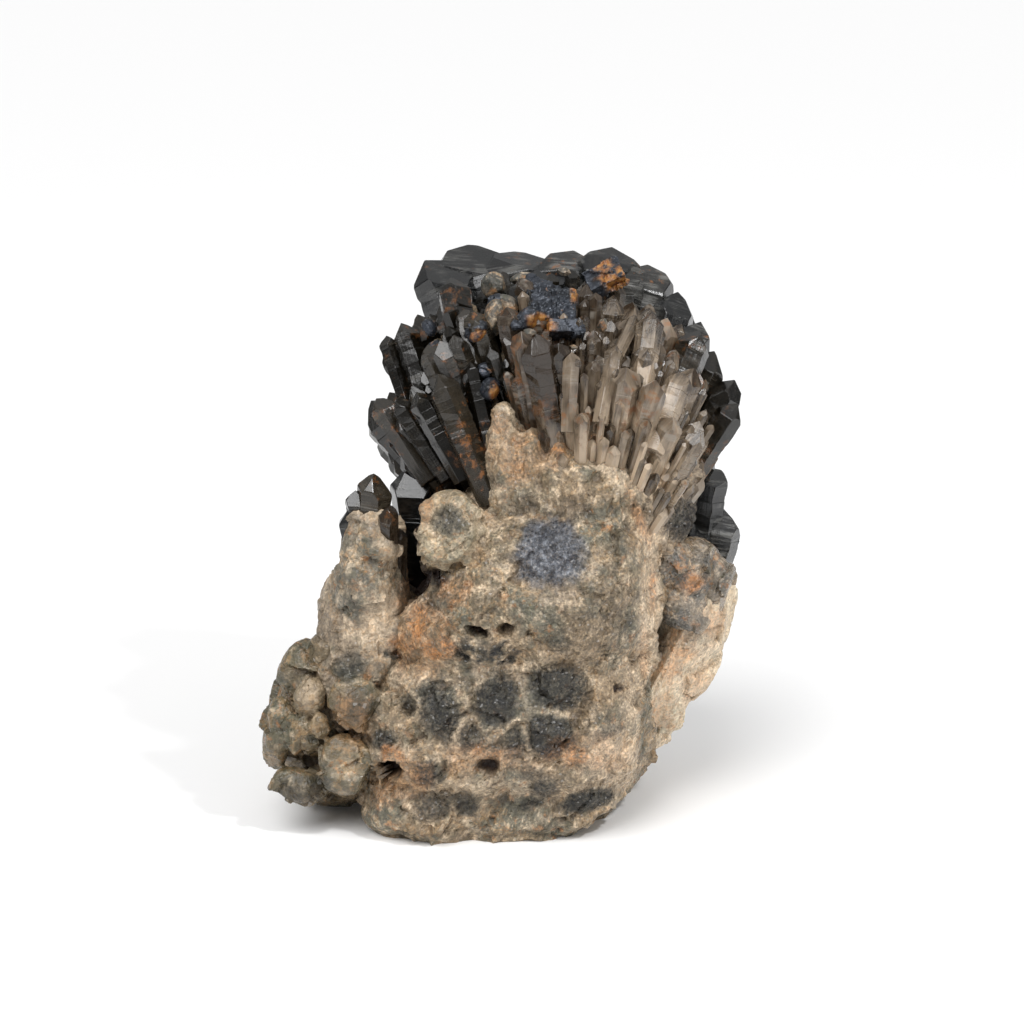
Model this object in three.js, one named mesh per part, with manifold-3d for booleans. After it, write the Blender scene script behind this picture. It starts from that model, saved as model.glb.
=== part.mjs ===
// A free-standing smoky quartz cluster, in millimetres, +Z up, resting on a flat cut at Z = 0.
//
// The specimen grew as one piece. Pale, massive quartz makes the lumpy body, and smoky crystals
// radiate from growth centres inside it: a tall fan at the top, a wing at the right, a column at the
// left and a coat of crystal points over the back. All of it is fused into one solid.
// The broken side, where the crystals' roots show, faces -Y.
import * as THREE from "three";
import { mergeVertices } from "three/addons/utils/BufferGeometryUtils.js";
import Module from "manifold-3d";

const wasm = await Module();
wasm.setup();
const { Manifold, Mesh } = wasm;

// ---------------------------------------------------------------- driving dimensions

// Everything is moved by this much at the end, so that the origin is at the middle of the base box.
const ORIGIN_SHIFT = [3.7, -10.5, 0];

// A quartz prism has six sides. Its three r and three z faces slope in to the point, and the
// normal of each stands at this angle above the prism's cross section.
const SIDES = 6;
const FACE_SLOPE_DEG = 38.2;
// A crystal narrows towards its growth centre, to this share of its width.
const ROOT_TAPER = 0.78;
// A crystal never starts nearer to its growth centre than this.
const NEAREST_ROOT = 8;

// Growth centres: where the crystals of a spray meet, and how far the spray leans back.
const FAN = { centre: [16.5, 0, 43], leanBackDeg: 15 };
const WING = { centre: [27, 4, 13], leanBackDeg: 15 };
const FOOT = { centre: [-4, 4, 24], leanBackDeg: 0 };

// The reach of the fan, from its growth centre to its tips, by the lean to the left or right.
const FAN_REACH = [
  [-60, 56],
  [-46, 64],
  [-41, 80],
  [-30, 90],
  [-20, 104],
  [0, 99],
  [12, 96],
  [20, 86],
  [31, 77],
  [37, 56],
  [60, 48],
];

// Crystals of the fan that are placed one by one: lean to the right and swing to the back, in
// degrees, then reach and half width, in millimetres.
const RIM = [
  [-20, 6, 107, 9],
  [-15, 10, 108, 9.5],
  [-10, 8, 105, 9.5],
  [-6, 3, 99, 6.5],
  [-2, 6, 99, 7],
  [2, 3, 99, 7.5],
  [5, 7, 100, 6],
  [8, 3, 97, 5],
  [11, 6, 97, 7],
  [16, 4, 92, 7.5],
  [19, 8, 88, 6],
];
const LEFT_EDGE = [
  [-26, 0, 93, 3.5],
  [-27, -4, 91, 4.5],
  [-32, -4, 90, 4.5],
  [-30, 4, 91, 4],
  [-40, -6, 81, 5.5],
  [-42, 0, 79, 4],
  [-43, 5, 74, 4],
  [-44, -2, 69, 3.5],
  [-46, 2, 64, 3.5],
];
const RIGHT_EDGE = [
  [21, -6, 84, 5],
  [25, -4, 82, 5],
  [30, -6, 78, 5],
  [33, -12, 74, 3.8],
  [34, -4, 61, 4],
  [36, 0, 56, 4],
];
const INNER = [
  [22, -20, 79, 3.6],
  [15, -10, 86, 4],
  [12, -14, 88, 3.5],
  [18, -14, 80, 4],
  [-27, -18, 81, 4.8],
  [-24, -10, 87, 4],
  [-21, -4, 92, 5],
  [-19, -10, 87, 3.5],
  [-16, -12, 88, 4],
  [-13, -6, 90, 5],
  [-33, -14, 67, 4],
  [-34, -8, 76, 4],
  [-38, -4, 74, 4],
  [-9, -8, 94, 6],
  [-5, -8, 92, 7],
  [-1, -6, 90, 5],
  [-9, -22, 82, 5],
  [2, -4, 93, 6],
  [6, -8, 89, 4],
  [9, -8, 88, 4],
  [4, -14, 82, 3.5],
];
const CREST = [
  [-17, -20, 67, 4.2],
  [-14, -24, 64, 3.6],
  [-20, -20, 59, 3.2],
  [-11, -26, 58, 3.2],
];

// How much of each crystal's length is modelled, from its tip down. The rest is inside the rock.
const BODY_LENGTH = { edge: 38, inner: 36, crest: 24, row: 30, wing: 22, foot: 26 };

// Crystals that belong to no spray: root, tip and half width.
const SINGLES = [
  { root: [-31, -18, 64], tip: [-34, -20, 92.5], halfWidth: 5.4 },
  { root: [-29.5, -22, 62], tip: [-30, -24, 85], halfWidth: 2.6 },
  { root: [-27, -18, 58], tip: [-27.5, -19, 79], halfWidth: 2.2 },
  { root: [-37, -14, 62], tip: [-39, -15, 84], halfWidth: 4.5 },
  { root: [-8, 0, 60], tip: [-21, -6, 98], halfWidth: 8.5 },
  { root: [38, 8, 48], tip: [47.5, 12, 84], halfWidth: 6.2 },
  { root: [40, 8, 44], tip: [51.5, 12, 75], halfWidth: 5.6 },
  { root: [36, -2, 40], tip: [45, -8, 74], halfWidth: 7 },
];

// ---------------------------------------------------------------- small tools

const rad = THREE.MathUtils.degToRad;

// The same numbers each run: a small random generator with a seed.
function makeRandom(seed) {
  let state = seed >>> 0;
  return () => {
    state = (Math.imul(state, 1664525) + 1013904223) >>> 0;
    return state / 4294967296;
  };
}

// A wavy value between about -1 and 1 at a place in the rock, for bumps about one unit apart.
function wave(x, y, z) {
  return (
    (Math.sin(3.1 * x + 2.3 * y - 1.1 * z) +
      Math.sin(2.7 * y - 3.9 * z + 1.7 * x + 1.3) +
      Math.sin(3.3 * z + 3.9 * x - 2.1 * y + 2.6)) /
    3
  );
}

function reachAt(table, lean) {
  for (let i = 1; i < table.length; i += 1) {
    const [l0, r0] = table[i - 1];
    const [l1, r1] = table[i];
    if (lean <= l1) {
      return r0 + ((r1 - r0) * Math.max(0, lean - l0)) / (l1 - l0);
    }
  }
  return table[table.length - 1][1];
}

// The direction of a crystal that leans to the right and swings to the back of its spray.
function direction(leanDeg, swingDeg, spray) {
  const lean = rad(leanDeg);
  const swing = rad(swingDeg);
  return new THREE.Vector3(
    Math.sin(lean) * Math.cos(swing),
    Math.sin(swing),
    Math.cos(lean) * Math.cos(swing),
  ).applyAxisAngle(new THREE.Vector3(1, 0, 0), -rad(spray.leanBackDeg));
}

function toSolid(geometry) {
  geometry.deleteAttribute("normal");
  geometry.deleteAttribute("uv");
  const merged = mergeVertices(geometry, 1e-4);
  return new Manifold(
    new Mesh({
      numProp: 3,
      vertProperties: merged.attributes.position.array,
      triVerts: new Uint32Array(merged.index.array),
    }),
  );
}

// ---------------------------------------------------------------- crystals

const unitPrism = toSolid(
  new THREE.CylinderGeometry(1, ROOT_TAPER, 1, SIDES)
    .rotateX(Math.PI / 2)
    .translate(0, 0, 0.5),
);

// One crystal from a root point along a direction: a prism cut to a point by six sloping faces.
// Every second face sits higher, as a z face does beside an r face.
function crystal(root, dir, length, halfWidth, random, every = 1) {
  const slope = rad(FACE_SLOPE_DEG);
  const stepUp = (0.1 + 0.4 * random()) * halfWidth;
  const roll = 2 * Math.PI * random();
  const aside = 0.35 * halfWidth * (random() - 0.5);
  let body = unitPrism.scale([halfWidth, halfWidth, length]);
  for (let k = 0; k < SIDES; k += every) {
    const turn = (k * 2 * Math.PI) / SIDES;
    const normal = [
      Math.cos(turn) * Math.cos(slope),
      Math.sin(turn) * Math.cos(slope),
      Math.sin(slope),
    ];
    const peak = length + (k % 2) * stepUp;
    const offset = normal[0] * aside + normal[2] * peak;
    body = body.trimByPlane([-normal[0], -normal[1], -normal[2]], -offset);
  }
  const turned = new THREE.Quaternion().setFromUnitVectors(
    new THREE.Vector3(0, 0, 1),
    dir,
  );
  const place = new THREE.Matrix4()
    .compose(root, turned, new THREE.Vector3(1, 1, 1))
    .multiply(new THREE.Matrix4().makeRotationZ(roll));
  return body.transform(place.elements);
}

// A crystal of a spray, whose tip is its reach away from the growth centre.
function sprayCrystal(spray, dir, reach, halfWidth, bodyLength, random, every) {
  const start = Math.max(NEAREST_ROOT, reach - bodyLength);
  const root = new THREE.Vector3(...spray.centre).addScaledVector(dir, start);
  return crystal(root, dir, reach - start, halfWidth, random, every);
}

function placedCrystals(list, spray, bodyLength, seed) {
  const random = makeRandom(seed);
  return list.map(([lean, swing, reach, halfWidth]) =>
    sprayCrystal(
      spray,
      direction(lean, swing, spray),
      reach,
      halfWidth,
      bodyLength,
      random,
    ),
  );
}

function singleCrystals(seed) {
  const random = makeRandom(seed);
  return SINGLES.map(({ root, tip, halfWidth }) => {
    const from = new THREE.Vector3(...root);
    const along = new THREE.Vector3(...tip).sub(from);
    const length = along.length();
    return crystal(from, along.normalize(), length, halfWidth, random);
  });
}

// Rows of crystals across the fan. The front rows are slim, each further back and longer than the
// last, and their tips have the three r faces alone. The back rows are stout, down to the level.
const ROWS = [
  { swing: -31, from: -10, to: 33, step: 6.4, share: 0.86, halfWidth: 3.4, every: 2 },
  { swing: -20, from: -32, to: 35, step: 6.6, share: 0.87, halfWidth: 3.8, every: 2 },
  { swing: 21, from: -34, to: 34, step: 13, share: 0.88, halfWidth: 8, every: 1 },
  { swing: 36, from: -30, to: 34, step: 15, share: 0.75, halfWidth: 8.5, every: 1 },
  { swing: 51, from: -34, to: 40, step: 18, share: 0.65, halfWidth: 9, every: 1 },
  { swing: 66, from: -50, to: 60, step: 28, share: 0.57, halfWidth: 9.5, every: 1 },
];

function rowCrystals(seed) {
  const random = makeRandom(seed);
  const made = [];
  for (const row of ROWS) {
    for (let lean = row.from; lean <= row.to; lean += row.step) {
      const leanHere = lean + 3 * (random() - 0.5);
      const swingHere = row.swing + 5 * (random() - 0.5);
      const longer = 1 + 0.1 * (random() - 0.5);
      const reach = reachAt(FAN_REACH, leanHere) * row.share * longer;
      const halfWidth = row.halfWidth * (0.8 + 0.4 * random());
      const dir = direction(leanHere, swingHere, FAN);
      made.push(
        sprayCrystal(
          FAN,
          dir,
          reach,
          halfWidth,
          BODY_LENGTH.row,
          random,
          row.every,
        ),
      );
    }
  }
  return made;
}

// Pale, fibrous crystals of the wing, packed side by side.
const WING_REACH = [
  [10, 50],
  [20, 54],
  [33, 54],
  [44, 40],
  [54, 27],
  [66, 22],
];
const WING_SWINGS = [-16, 12];
const WING_STEP = 7.5;

function wingCrystals(seed) {
  const random = makeRandom(seed);
  const made = [];
  for (let lean = 12; lean <= 60; lean += WING_STEP) {
    for (const swing of WING_SWINGS) {
      const leanHere = lean + 3 * (random() - 0.5);
      const swingHere = swing + 8 * (random() - 0.5);
      const reach = reachAt(WING_REACH, leanHere) * (1 - 0.08 * random());
      const halfWidth = 5 + 1.6 * random();
      const dir = direction(leanHere, swingHere, WING);
      made.push(
        sprayCrystal(WING, dir, reach, halfWidth, BODY_LENGTH.wing, random, 2),
      );
    }
  }
  return made;
}

// Stout crystals spread evenly over the lower back, their tips on an ellipsoid.
const FOOT_COAT = {
  spread: 96,
  backwards: 0.1,
  lowest: -0.5,
  highest: 0.5,
  reach: [41, 52, 46],
  halfWidth: 7.6,
};

function footCrystals(seed) {
  const random = makeRandom(seed);
  const made = [];
  const goldenTurn = Math.PI * (3 - Math.sqrt(5));
  const { spread, backwards, lowest, highest, reach } = FOOT_COAT;
  for (let i = 0; i < spread; i += 1) {
    const y = 1 - (2 * (i + 0.5)) / spread;
    const ring = Math.sqrt(1 - y * y);
    const dir = new THREE.Vector3(
      ring * Math.cos(i * goldenTurn) + 0.1 * (random() - 0.5),
      y + 0.1 * (random() - 0.5),
      ring * Math.sin(i * goldenTurn) + 0.1 * (random() - 0.5),
    ).normalize();
    const longer = 1 - 0.12 * random();
    const halfWidth = FOOT_COAT.halfWidth * (0.75 + 0.6 * random());
    if (dir.y < backwards || dir.z < lowest || dir.z > highest) {
      continue;
    }
    const toTip = longer / dir.clone().divide(new THREE.Vector3(...reach)).length();
    made.push(
      sprayCrystal(FOOT, dir, toTip, halfWidth, BODY_LENGTH.foot, random),
    );
  }
  return made;
}

// ---------------------------------------------------------------- the massive quartz

// Level outlines of the trunk, from the base up: height, left and right, front and back.
// The two waists are the creases under the ledges of the broken front.
const TRUNK = [
  { z: -6, x: [-27, 20], y: [-16, 24] },
  { z: 0, x: [-31, 21], y: [-22, 27] },
  { z: 6, x: [-37, 27], y: [-28, 32] },
  { z: 12, x: [-40, 32], y: [-26, 36] },
  { z: 19, x: [-42, 36], y: [-33, 38] },
  { z: 31, x: [-42, 40], y: [-34, 40] },
  { z: 41, x: [-37, 42], y: [-30, 42] },
  { z: 46, x: [-33, 42], y: [-28, 42] },
  { z: 53, x: [-30, 42], y: [-34, 42] },
  { z: 65, x: [-25, 42], y: [-35, 42] },
  { z: 77, x: [-19, 42], y: [-32, 40] },
  { z: 88, x: [-9, 42], y: [-26, 38] },
  { z: 99, x: [-10, 42], y: [-18, 34] },
  { z: 110, x: [-18, 42], y: [-11, 32] },
  { z: 118, x: [-20, 40], y: [-3, 30] },
  { z: 124, x: [-12, 34], y: [6, 26] },
];
const TRUNK_SIDES = 24;
// The outline's corners are fuller than an ellipse's: this power would be 1 for an ellipse.
const TRUNK_FULLNESS = 0.68;
// The creases rise and fall by this much on their way round the trunk.
const CREASE_SWAY = 2.5;
// Bumps of the broken quartz, wide ones and small ones: how far apart, and how high.
const ROUGH = [
  { apart: 24, high: 2.4 },
  { apart: 11, high: 1.2 },
];

// Lumps on the trunk: centre, half sizes, and turn about the front-back axis in degrees.
const LUMPS = [
  { at: [12, 20, 64], half: [34, 20, 36], turn: 0, detail: 2 },
  { at: [-50, -3, 27], half: [13, 16, 21], turn: 14, detail: 2 },
  { at: [-47, -3, 11], half: [12, 13, 11], turn: 0, detail: 2 },
  { at: [-36.5, -12, 55], half: [11, 14, 31], turn: 10, detail: 2 },
  { at: [40, 2, 43], half: [11, 17, 26], turn: 26, detail: 2 },
  { at: [-15, -24, 80], half: [9, 13, 9], turn: 0, detail: 2 },
  { at: [2, -15, 90], half: [8.5, 10, 16], turn: -6, detail: 2 },
  { at: [-20, 8, 68], half: [17, 15, 27], turn: -14, detail: 2 },
  { at: [-20, -15, 7], half: [18, 14, 12], turn: 0, detail: 2 },
  { at: [-52, -15, 32], half: [7, 6, 8], turn: 0, detail: 1 },
  { at: [-47, -18, 20], half: [6, 5, 5], turn: 0, detail: 1 },
  { at: [-36, -24, 30], half: [9, 7, 8], turn: 0, detail: 1 },
  { at: [-37, -20, 14], half: [9, 7, 8], turn: 0, detail: 1 },
  { at: [-58, -12, 18], half: [6, 6, 9], turn: 0, detail: 1 },
];

// Hollows under the ledges and between the lobes, cut out of the front.
const HOLLOWS = [
  { at: [-9, -31, 46], half: [4.5, 9, 2.2], turn: 8, detail: 1 },
  { at: [-1.5, -32, 47], half: [2.8, 8, 2], turn: -8, detail: 1 },
  { at: [-29, -26, 12.5], half: [6, 9, 2.6], turn: 6, detail: 1 },
  { at: [-6, -30, 13], half: [3.6, 9, 2.8], turn: -6, detail: 1 },
  { at: [-41, -21, 37], half: [4.5, 6, 3.6], turn: 20, detail: 1 },
];

// Moves the points of a closed shape in or out from its upright middle line.
function roughen(geometry) {
  const points = geometry.attributes.position;
  geometry.computeBoundingBox();
  const middle = geometry.boundingBox.getCenter(new THREE.Vector3());
  const p = new THREE.Vector3();
  for (let i = 0; i < points.count; i += 1) {
    p.fromBufferAttribute(points, i);
    const out = p.clone().sub(middle).normalize();
    let high = 0;
    for (const bump of ROUGH) {
      const q = p.clone().divideScalar(bump.apart);
      high += bump.high * wave(q.x, q.y, q.z);
    }
    out.multiplyScalar(high).add(p);
    points.setXYZ(i, out.x, out.y, out.z);
  }
  return geometry;
}

// The trunk is a stack of rings, each moved to its level outline.
function trunk() {
  const rows = TRUNK.length - 1;
  const geometry = new THREE.CylinderGeometry(1, 1, rows, TRUNK_SIDES, rows);
  geometry.rotateX(Math.PI / 2).translate(0, 0, rows / 2);
  const points = geometry.attributes.position;
  const fuller = (t) => Math.sign(t) * Math.abs(t) ** TRUNK_FULLNESS;
  const p = new THREE.Vector3();
  for (let i = 0; i < points.count; i += 1) {
    p.fromBufferAttribute(points, i);
    const level = TRUNK[Math.round(p.z)];
    const [left, right] = level.x;
    const [front, back] = level.y;
    points.setXYZ(
      i,
      (left + right) / 2 + ((right - left) / 2) * fuller(p.x),
      (front + back) / 2 + ((back - front) / 2) * fuller(p.y),
      level.z + CREASE_SWAY * wave(p.x, p.y, level.z / 40),
    );
  }
  return toSolid(roughen(geometry));
}

function lump({ at, half, turn, detail }) {
  const geometry = new THREE.IcosahedronGeometry(1, detail);
  geometry.scale(...half).rotateY(rad(turn)).translate(...at);
  return toSolid(roughen(geometry));
}

// ---------------------------------------------------------------- the cluster

// Edges shorter than this are closed up after the pieces are fused.
const SLIVER = 0.25;

// The largest closed shell of a solid, without the sealed gaps inside it.
function outerShell(solid) {
  const shells = solid.decompose().sort((a, b) => b.volume() - a.volume());
  return shells[0];
}

// Fuses the rock and its crystals, cuts the hollows and the flat base, and fills the sealed gaps
// that are left between crystals.
function makeCluster() {
  const pieces = [
    trunk(),
    ...LUMPS.map(lump),
    ...placedCrystals(RIM, FAN, BODY_LENGTH.edge, 11),
    ...placedCrystals(LEFT_EDGE, FAN, BODY_LENGTH.edge, 12),
    ...placedCrystals(RIGHT_EDGE, FAN, BODY_LENGTH.edge, 13),
    ...placedCrystals(INNER, FAN, BODY_LENGTH.inner, 14),
    ...placedCrystals(CREST, FAN, BODY_LENGTH.crest, 15),
    ...rowCrystals(16),
    ...singleCrystals(19),
    ...wingCrystals(20),
    ...footCrystals(18),
  ];
  const whole = Manifold.union(pieces)
    .subtract(Manifold.union(HOLLOWS.map(lump)))
    .trimByPlane([0, 0, 1], 0);
  return outerShell(outerShell(whole).simplify(SLIVER)).translate(ORIGIN_SHIFT);
}

function toGeometry(solid) {
  const { vertProperties, triVerts } = solid.getMesh();
  const geometry = new THREE.BufferGeometry();
  geometry.setAttribute(
    "position",
    new THREE.BufferAttribute(vertProperties, 3),
  );
  geometry.setIndex(new THREE.BufferAttribute(triVerts, 1));
  const faceted = geometry.toNonIndexed();
  faceted.computeVertexNormals();
  return faceted;
}

const cluster = new THREE.Mesh(
  toGeometry(makeCluster()),
  new THREE.MeshStandardMaterial({
    color: 0x5e564c,
    roughness: 0.35,
    metalness: 0,
  }),
);
cluster.name = "quartz_cluster";

const specimen = new THREE.Group();
specimen.add(cluster);

export default specimen;
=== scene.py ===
# %% [markdown]
# # A smoky quartz cluster
# The specimen grew as one piece. Pale, massive quartz makes the lumpy body, and smoky crystals
# radiate from growth centres inside it: a tall fan at the top, a wing at the right, a column at
# the left and a coat of stout points over the back. This script builds the rock first, then each
# family of crystals, and then the finishes. Sizes are in millimetres until a mesh is placed.

import math

import bmesh
import bpy
import numpy as np
from mathutils import Matrix, Vector, noise
from mathutils.bvhtree import BVHTree


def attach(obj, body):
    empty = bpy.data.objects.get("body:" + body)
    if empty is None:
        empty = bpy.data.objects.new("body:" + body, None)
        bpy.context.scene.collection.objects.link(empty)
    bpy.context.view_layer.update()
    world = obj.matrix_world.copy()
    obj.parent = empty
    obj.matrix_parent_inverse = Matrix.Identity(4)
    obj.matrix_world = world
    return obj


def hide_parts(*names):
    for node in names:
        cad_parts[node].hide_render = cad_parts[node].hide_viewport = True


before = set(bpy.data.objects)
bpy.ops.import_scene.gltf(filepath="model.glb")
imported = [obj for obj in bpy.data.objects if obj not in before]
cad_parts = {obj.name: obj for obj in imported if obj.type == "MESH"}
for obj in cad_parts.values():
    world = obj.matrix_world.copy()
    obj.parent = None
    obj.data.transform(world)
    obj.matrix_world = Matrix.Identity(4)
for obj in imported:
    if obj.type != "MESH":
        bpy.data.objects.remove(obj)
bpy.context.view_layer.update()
MM = 0.001
# The growth centres' coordinates are moved by this much, so that the base is centred.
ORIGIN_SHIFT = Vector((3.7, -10.5, 0.0))

# %% [markdown]
# ## The camera
# The camera stands level with the upper half of the specimen and looks down on it a little. A long
# lens keeps the crystals' edges nearly parallel, as in a picture for a collector's catalogue.

# %% The camera and its view
ELEVATION = math.radians(15)
DISTANCE = 711
AIM = Vector((0.0, 0.0, 77.9))
RIGHT = Vector((1, 0, 0))
UP = Vector((0, math.sin(ELEVATION), math.cos(ELEVATION)))
FORWARD = Vector((0, math.cos(ELEVATION), -math.sin(ELEVATION)))
EYE = AIM - FORWARD * DISTANCE


def at_view(right, up, depth):
    """A point so many millimetres right and up of the picture's middle, and behind the aim."""
    return EYE + (AIM + RIGHT * right + UP * up - EYE) * ((DISTANCE + depth) / DISTANCE)


camera = bpy.data.objects.new("camera", bpy.data.cameras.new("camera"))
camera.data.lens = 100
camera.data.sensor_width = 36
camera.location = (EYE + ORIGIN_SHIFT) * MM
camera.rotation_euler = (math.pi / 2 - ELEVATION, 0, 0)
bpy.context.scene.collection.objects.link(camera)
bpy.context.scene.camera = camera

# %% [markdown]
# ## Chance, with a seed
# Natural things need scatter, but a script has to give the same specimen each run. A small
# generator with a seed does that. The plain solid's crystals were placed with the same generator,
# so most leading crystals here stand where the solid's do.

# %% A small random generator and a few helpers
def make_random(seed):
    """Gives numbers from 0 to 1, the same ones each run."""
    state = [seed]

    def draw():
        state[0] = (state[0] * 1664525 + 1013904223) % 4294967296
        return state[0] / 4294967296

    return draw


def mix(a, b, share):
    return a + (b - a) * share


def ease(low, high, value):
    """0 below low, 1 above high, and smooth between them."""
    t = np.clip((value - low) / (high - low), 0, 1)
    return t * t * (3 - 2 * t)


def chances(seed):
    """One generator for places and sizes, and another for details."""
    return make_random(seed), make_random(1000 + seed)


def fade(low, high, value):
    """1 below low, 0 above high, and smooth between them."""
    return 1 - ease(low, high, value)


def add_object(name, bm):
    """A mesh object from a bmesh, which is freed."""
    mesh = bpy.data.meshes.new(name)
    bm.to_mesh(mesh)
    bm.free()
    thing = bpy.data.objects.new(name, mesh)
    bpy.context.scene.collection.objects.link(thing)
    return thing


def pour(bm, target):
    """Adds one bmesh to another, and frees it."""
    mesh = bpy.data.meshes.new("single")
    bm.to_mesh(mesh)
    bm.free()
    target.from_mesh(mesh)
    bpy.data.meshes.remove(mesh)


def new_piece(name, bm):
    """A finished mesh object at the origin, from a bmesh in millimetres."""
    bmesh.ops.transform(bm, matrix=Matrix.Scale(MM, 4) @ Matrix.Translation(ORIGIN_SHIFT), verts=bm.verts)
    piece = add_object(name, bm)
    print(name, "has", len(piece.data.vertices), "points and", len(piece.data.polygons), "faces")
    return piece


# %% [markdown]
# ## Sprays of crystals
# Crystals of a spray point away from one growth centre, like the ribs of a fan. So a crystal needs
# only a direction and a reach: how far it leans to the right, how far it swings to the back, and
# how far its tip is from the centre.

# %% Growth centres, and the direction of a crystal
FAN = {"centre": (16.5, 0, 43), "lean_back": 15}
WING = {"centre": (27, 4, 13), "lean_back": 15}
FOOT = {"centre": (-4, 4, 24), "lean_back": 0}
NEAREST_ROOT = 8

FAN_REACH = [(-60, 56), (-46, 64), (-41, 80), (-30, 90), (-20, 104), (0, 99), (12, 96), (20, 86),
             (31, 77), (37, 56), (60, 48)]
WING_REACH = [(10, 50), (20, 54), (33, 53), (42, 38), (50, 22), (66, 10)]


def reach_at(table, lean):
    """How far the crystals reach at a lean, from a table of leans and reaches."""
    return float(np.interp(lean, *zip(*table)))


def direction(lean, swing, spray):
    """Which way a crystal of a spray points."""
    lean, swing = math.radians(lean), math.radians(swing)
    local = Vector((math.sin(lean) * math.cos(swing), math.sin(swing), math.cos(lean) * math.cos(swing)))
    return Matrix.Rotation(-math.radians(spray["lean_back"]), 3, "X") @ local


# %% [markdown]
# ## One crystal
# Quartz grows as a six-sided prism with a point of six sloping faces, three of them larger. The
# editor's way would be to scale in the end of a cylinder, but then all six faces meet in one
# point, which real crystals seldom do. Here a prism is cut by six planes, one after another, and
# each cut is filled. The planes stand at different heights and a little to one side, so ridges and
# small odd facets appear by themselves.

# %% Cut a six-sided prism to a point
SIDES = 6
FACE_SLOPE = math.radians(38.2)
ROOT_TAPER = 0.78
# Points nearer than this to a cutting plane count as on it.
ON_PLANE = 1e-5


def whole(bm):
    return bm.verts[:] + bm.edges[:] + bm.faces[:]


def cut_by(bm, point, normal):
    """Takes away what lies beyond a plane, and closes the cut."""
    cut = bmesh.ops.bisect_plane(bm, geom=whole(bm), dist=ON_PLANE, plane_co=point, plane_no=normal,
                                 clear_outer=True)
    rim = [e for e in cut["geom_cut"] if isinstance(e, bmesh.types.BMEdge)]
    if rim:
        bmesh.ops.edgeloop_fill(bm, edges=rim)


def with_layers():
    """An empty bmesh with a crystal's map and the values that its points keep."""
    bm = bmesh.new()
    bm.loops.layers.uv.new("growth")
    bm.verts.layers.float_color.new("kept")
    return bm


def pointed_prism(length, half, draw, every=1):
    """A crystal that stands on the origin, and the turn about its axis that it is to be given."""
    step_up = (0.1 + 0.4 * draw()) * half
    roll = 2 * math.pi * draw()
    aside = 0.35 * half * (draw() - 0.5)
    bm = with_layers()
    bmesh.ops.create_cone(bm, cap_ends=True, segments=SIDES, radius1=half * ROOT_TAPER, radius2=half,
                          depth=length, matrix=Matrix.Translation((0, 0, length / 2)))
    for k in range(0, SIDES, every):
        turn = 2 * math.pi * k / SIDES
        normal = Vector((math.cos(turn) * math.cos(FACE_SLOPE), math.sin(turn) * math.cos(FACE_SLOPE),
                         math.sin(FACE_SLOPE)))
        peak = length + (k % 2) * step_up
        cut_by(bm, normal * (normal.x * aside + normal.z * peak), normal)
    return bm, roll


# %% [markdown]
# ## Growth steps and soft edges
# A quartz prism is never quite straight. It grew in spurts, so its sides carry fine level steps.
# A bump in the material could hint at them, but on the stout crystals they are large enough to
# catch the light, so they are cut as rings here and moved in and out.

# %% Rings, steps and bevels
STEP_WIDTH = 0.08
STEP_DEPTH = 0.035
STEP_SHIFT = 0.03
# Only edges sharper than this angle, in radians, are softened.
SHARP = 0.3


def add_ring(bm, z):
    bmesh.ops.bisect_plane(bm, geom=whole(bm), dist=ON_PLANE, plane_co=(0, 0, z), plane_no=(0, 0, 1))


def add_growth_steps(bm, length, half, detail):
    """Cuts level rings round the prism, and moves each stretch between them in or out a little."""
    low, high = 0.35 * length, length - 1.3 * half
    pitch = 0.9 + 0.12 * half
    z = low + 1.5 * detail()
    stretches = []
    while z < high:
        stretches.append(z)
        z += pitch * (0.4 + 1.6 * detail())
    for z in stretches:
        add_ring(bm, z)
        add_ring(bm, z + STEP_WIDTH)
    if not stretches:
        return
    aside = STEP_SHIFT * half
    moves = [(aside * (detail() - 0.5), aside * (detail() - 0.5), 1 - STEP_DEPTH * detail())
             for _ in stretches]
    for v in bm.verts:
        if low < v.co.z < high:
            k = int(np.searchsorted(stretches, v.co.z - STEP_WIDTH / 2)) - 1
            dx, dy, grow_by = moves[max(k, 0)]
            v.co.x = v.co.x * grow_by + dx
            v.co.y = v.co.y * grow_by + dy


def soften(bm, offset):
    """A narrow bevel on every real edge of the crystal."""
    edges = [e for e in bm.edges if len(e.link_faces) == 2 and e.calc_face_angle(0) > SHARP]
    bmesh.ops.bevel(bm, geom=edges, offset=offset, segments=1, profile=0.5, affect="EDGES", material=-1,
                    clamp_overlap=True)


# %% [markdown]
# ## What a crystal remembers
# The finishes need to know more than a place in space. Each point of a crystal keeps how milky it
# is, how far up the crystal it stands, and a random value of its crystal. Each face gets a UV map
# that runs round the crystal and along it, in millimetres, so that grooves and veils follow it.

# %% Store the values and put the crystal in its family
# The milk ends this far from the growth centre, at each lean, and fades over MILK_FADE either way.
MILK_ENDS = [(-60, 20), (-45, 30), (-30, 44), (-20, 52), (-12, 58), (0, 76), (10, 82), (20, 76), (28, 66),
             (36, 52), (60, 30)]
MILK_FADE = 13


def milkiness(points, chance=0.5):
    """How milky the quartz is near the fan's growth centre: 1 is white, 0 is clear."""
    away = points - np.array(FAN["centre"])
    reach = np.linalg.norm(away, axis=-1)
    lean = np.degrees(np.arctan2(away[..., 0], np.maximum(away[..., 2], 1)))
    ends = np.interp(lean, *zip(*MILK_ENDS))
    behind = ease(4, 26, away[..., 1] - 0.26 * away[..., 2])
    return fade(ends - MILK_FADE, ends + MILK_FADE, reach + 26 * (chance - 0.5)) * (1 - 0.8 * behind)


def new_family():
    """The glassy outsides and the milky hearts of crystals that share a finish."""
    return {"shell": with_layers(), "heart": with_layers()}


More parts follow.
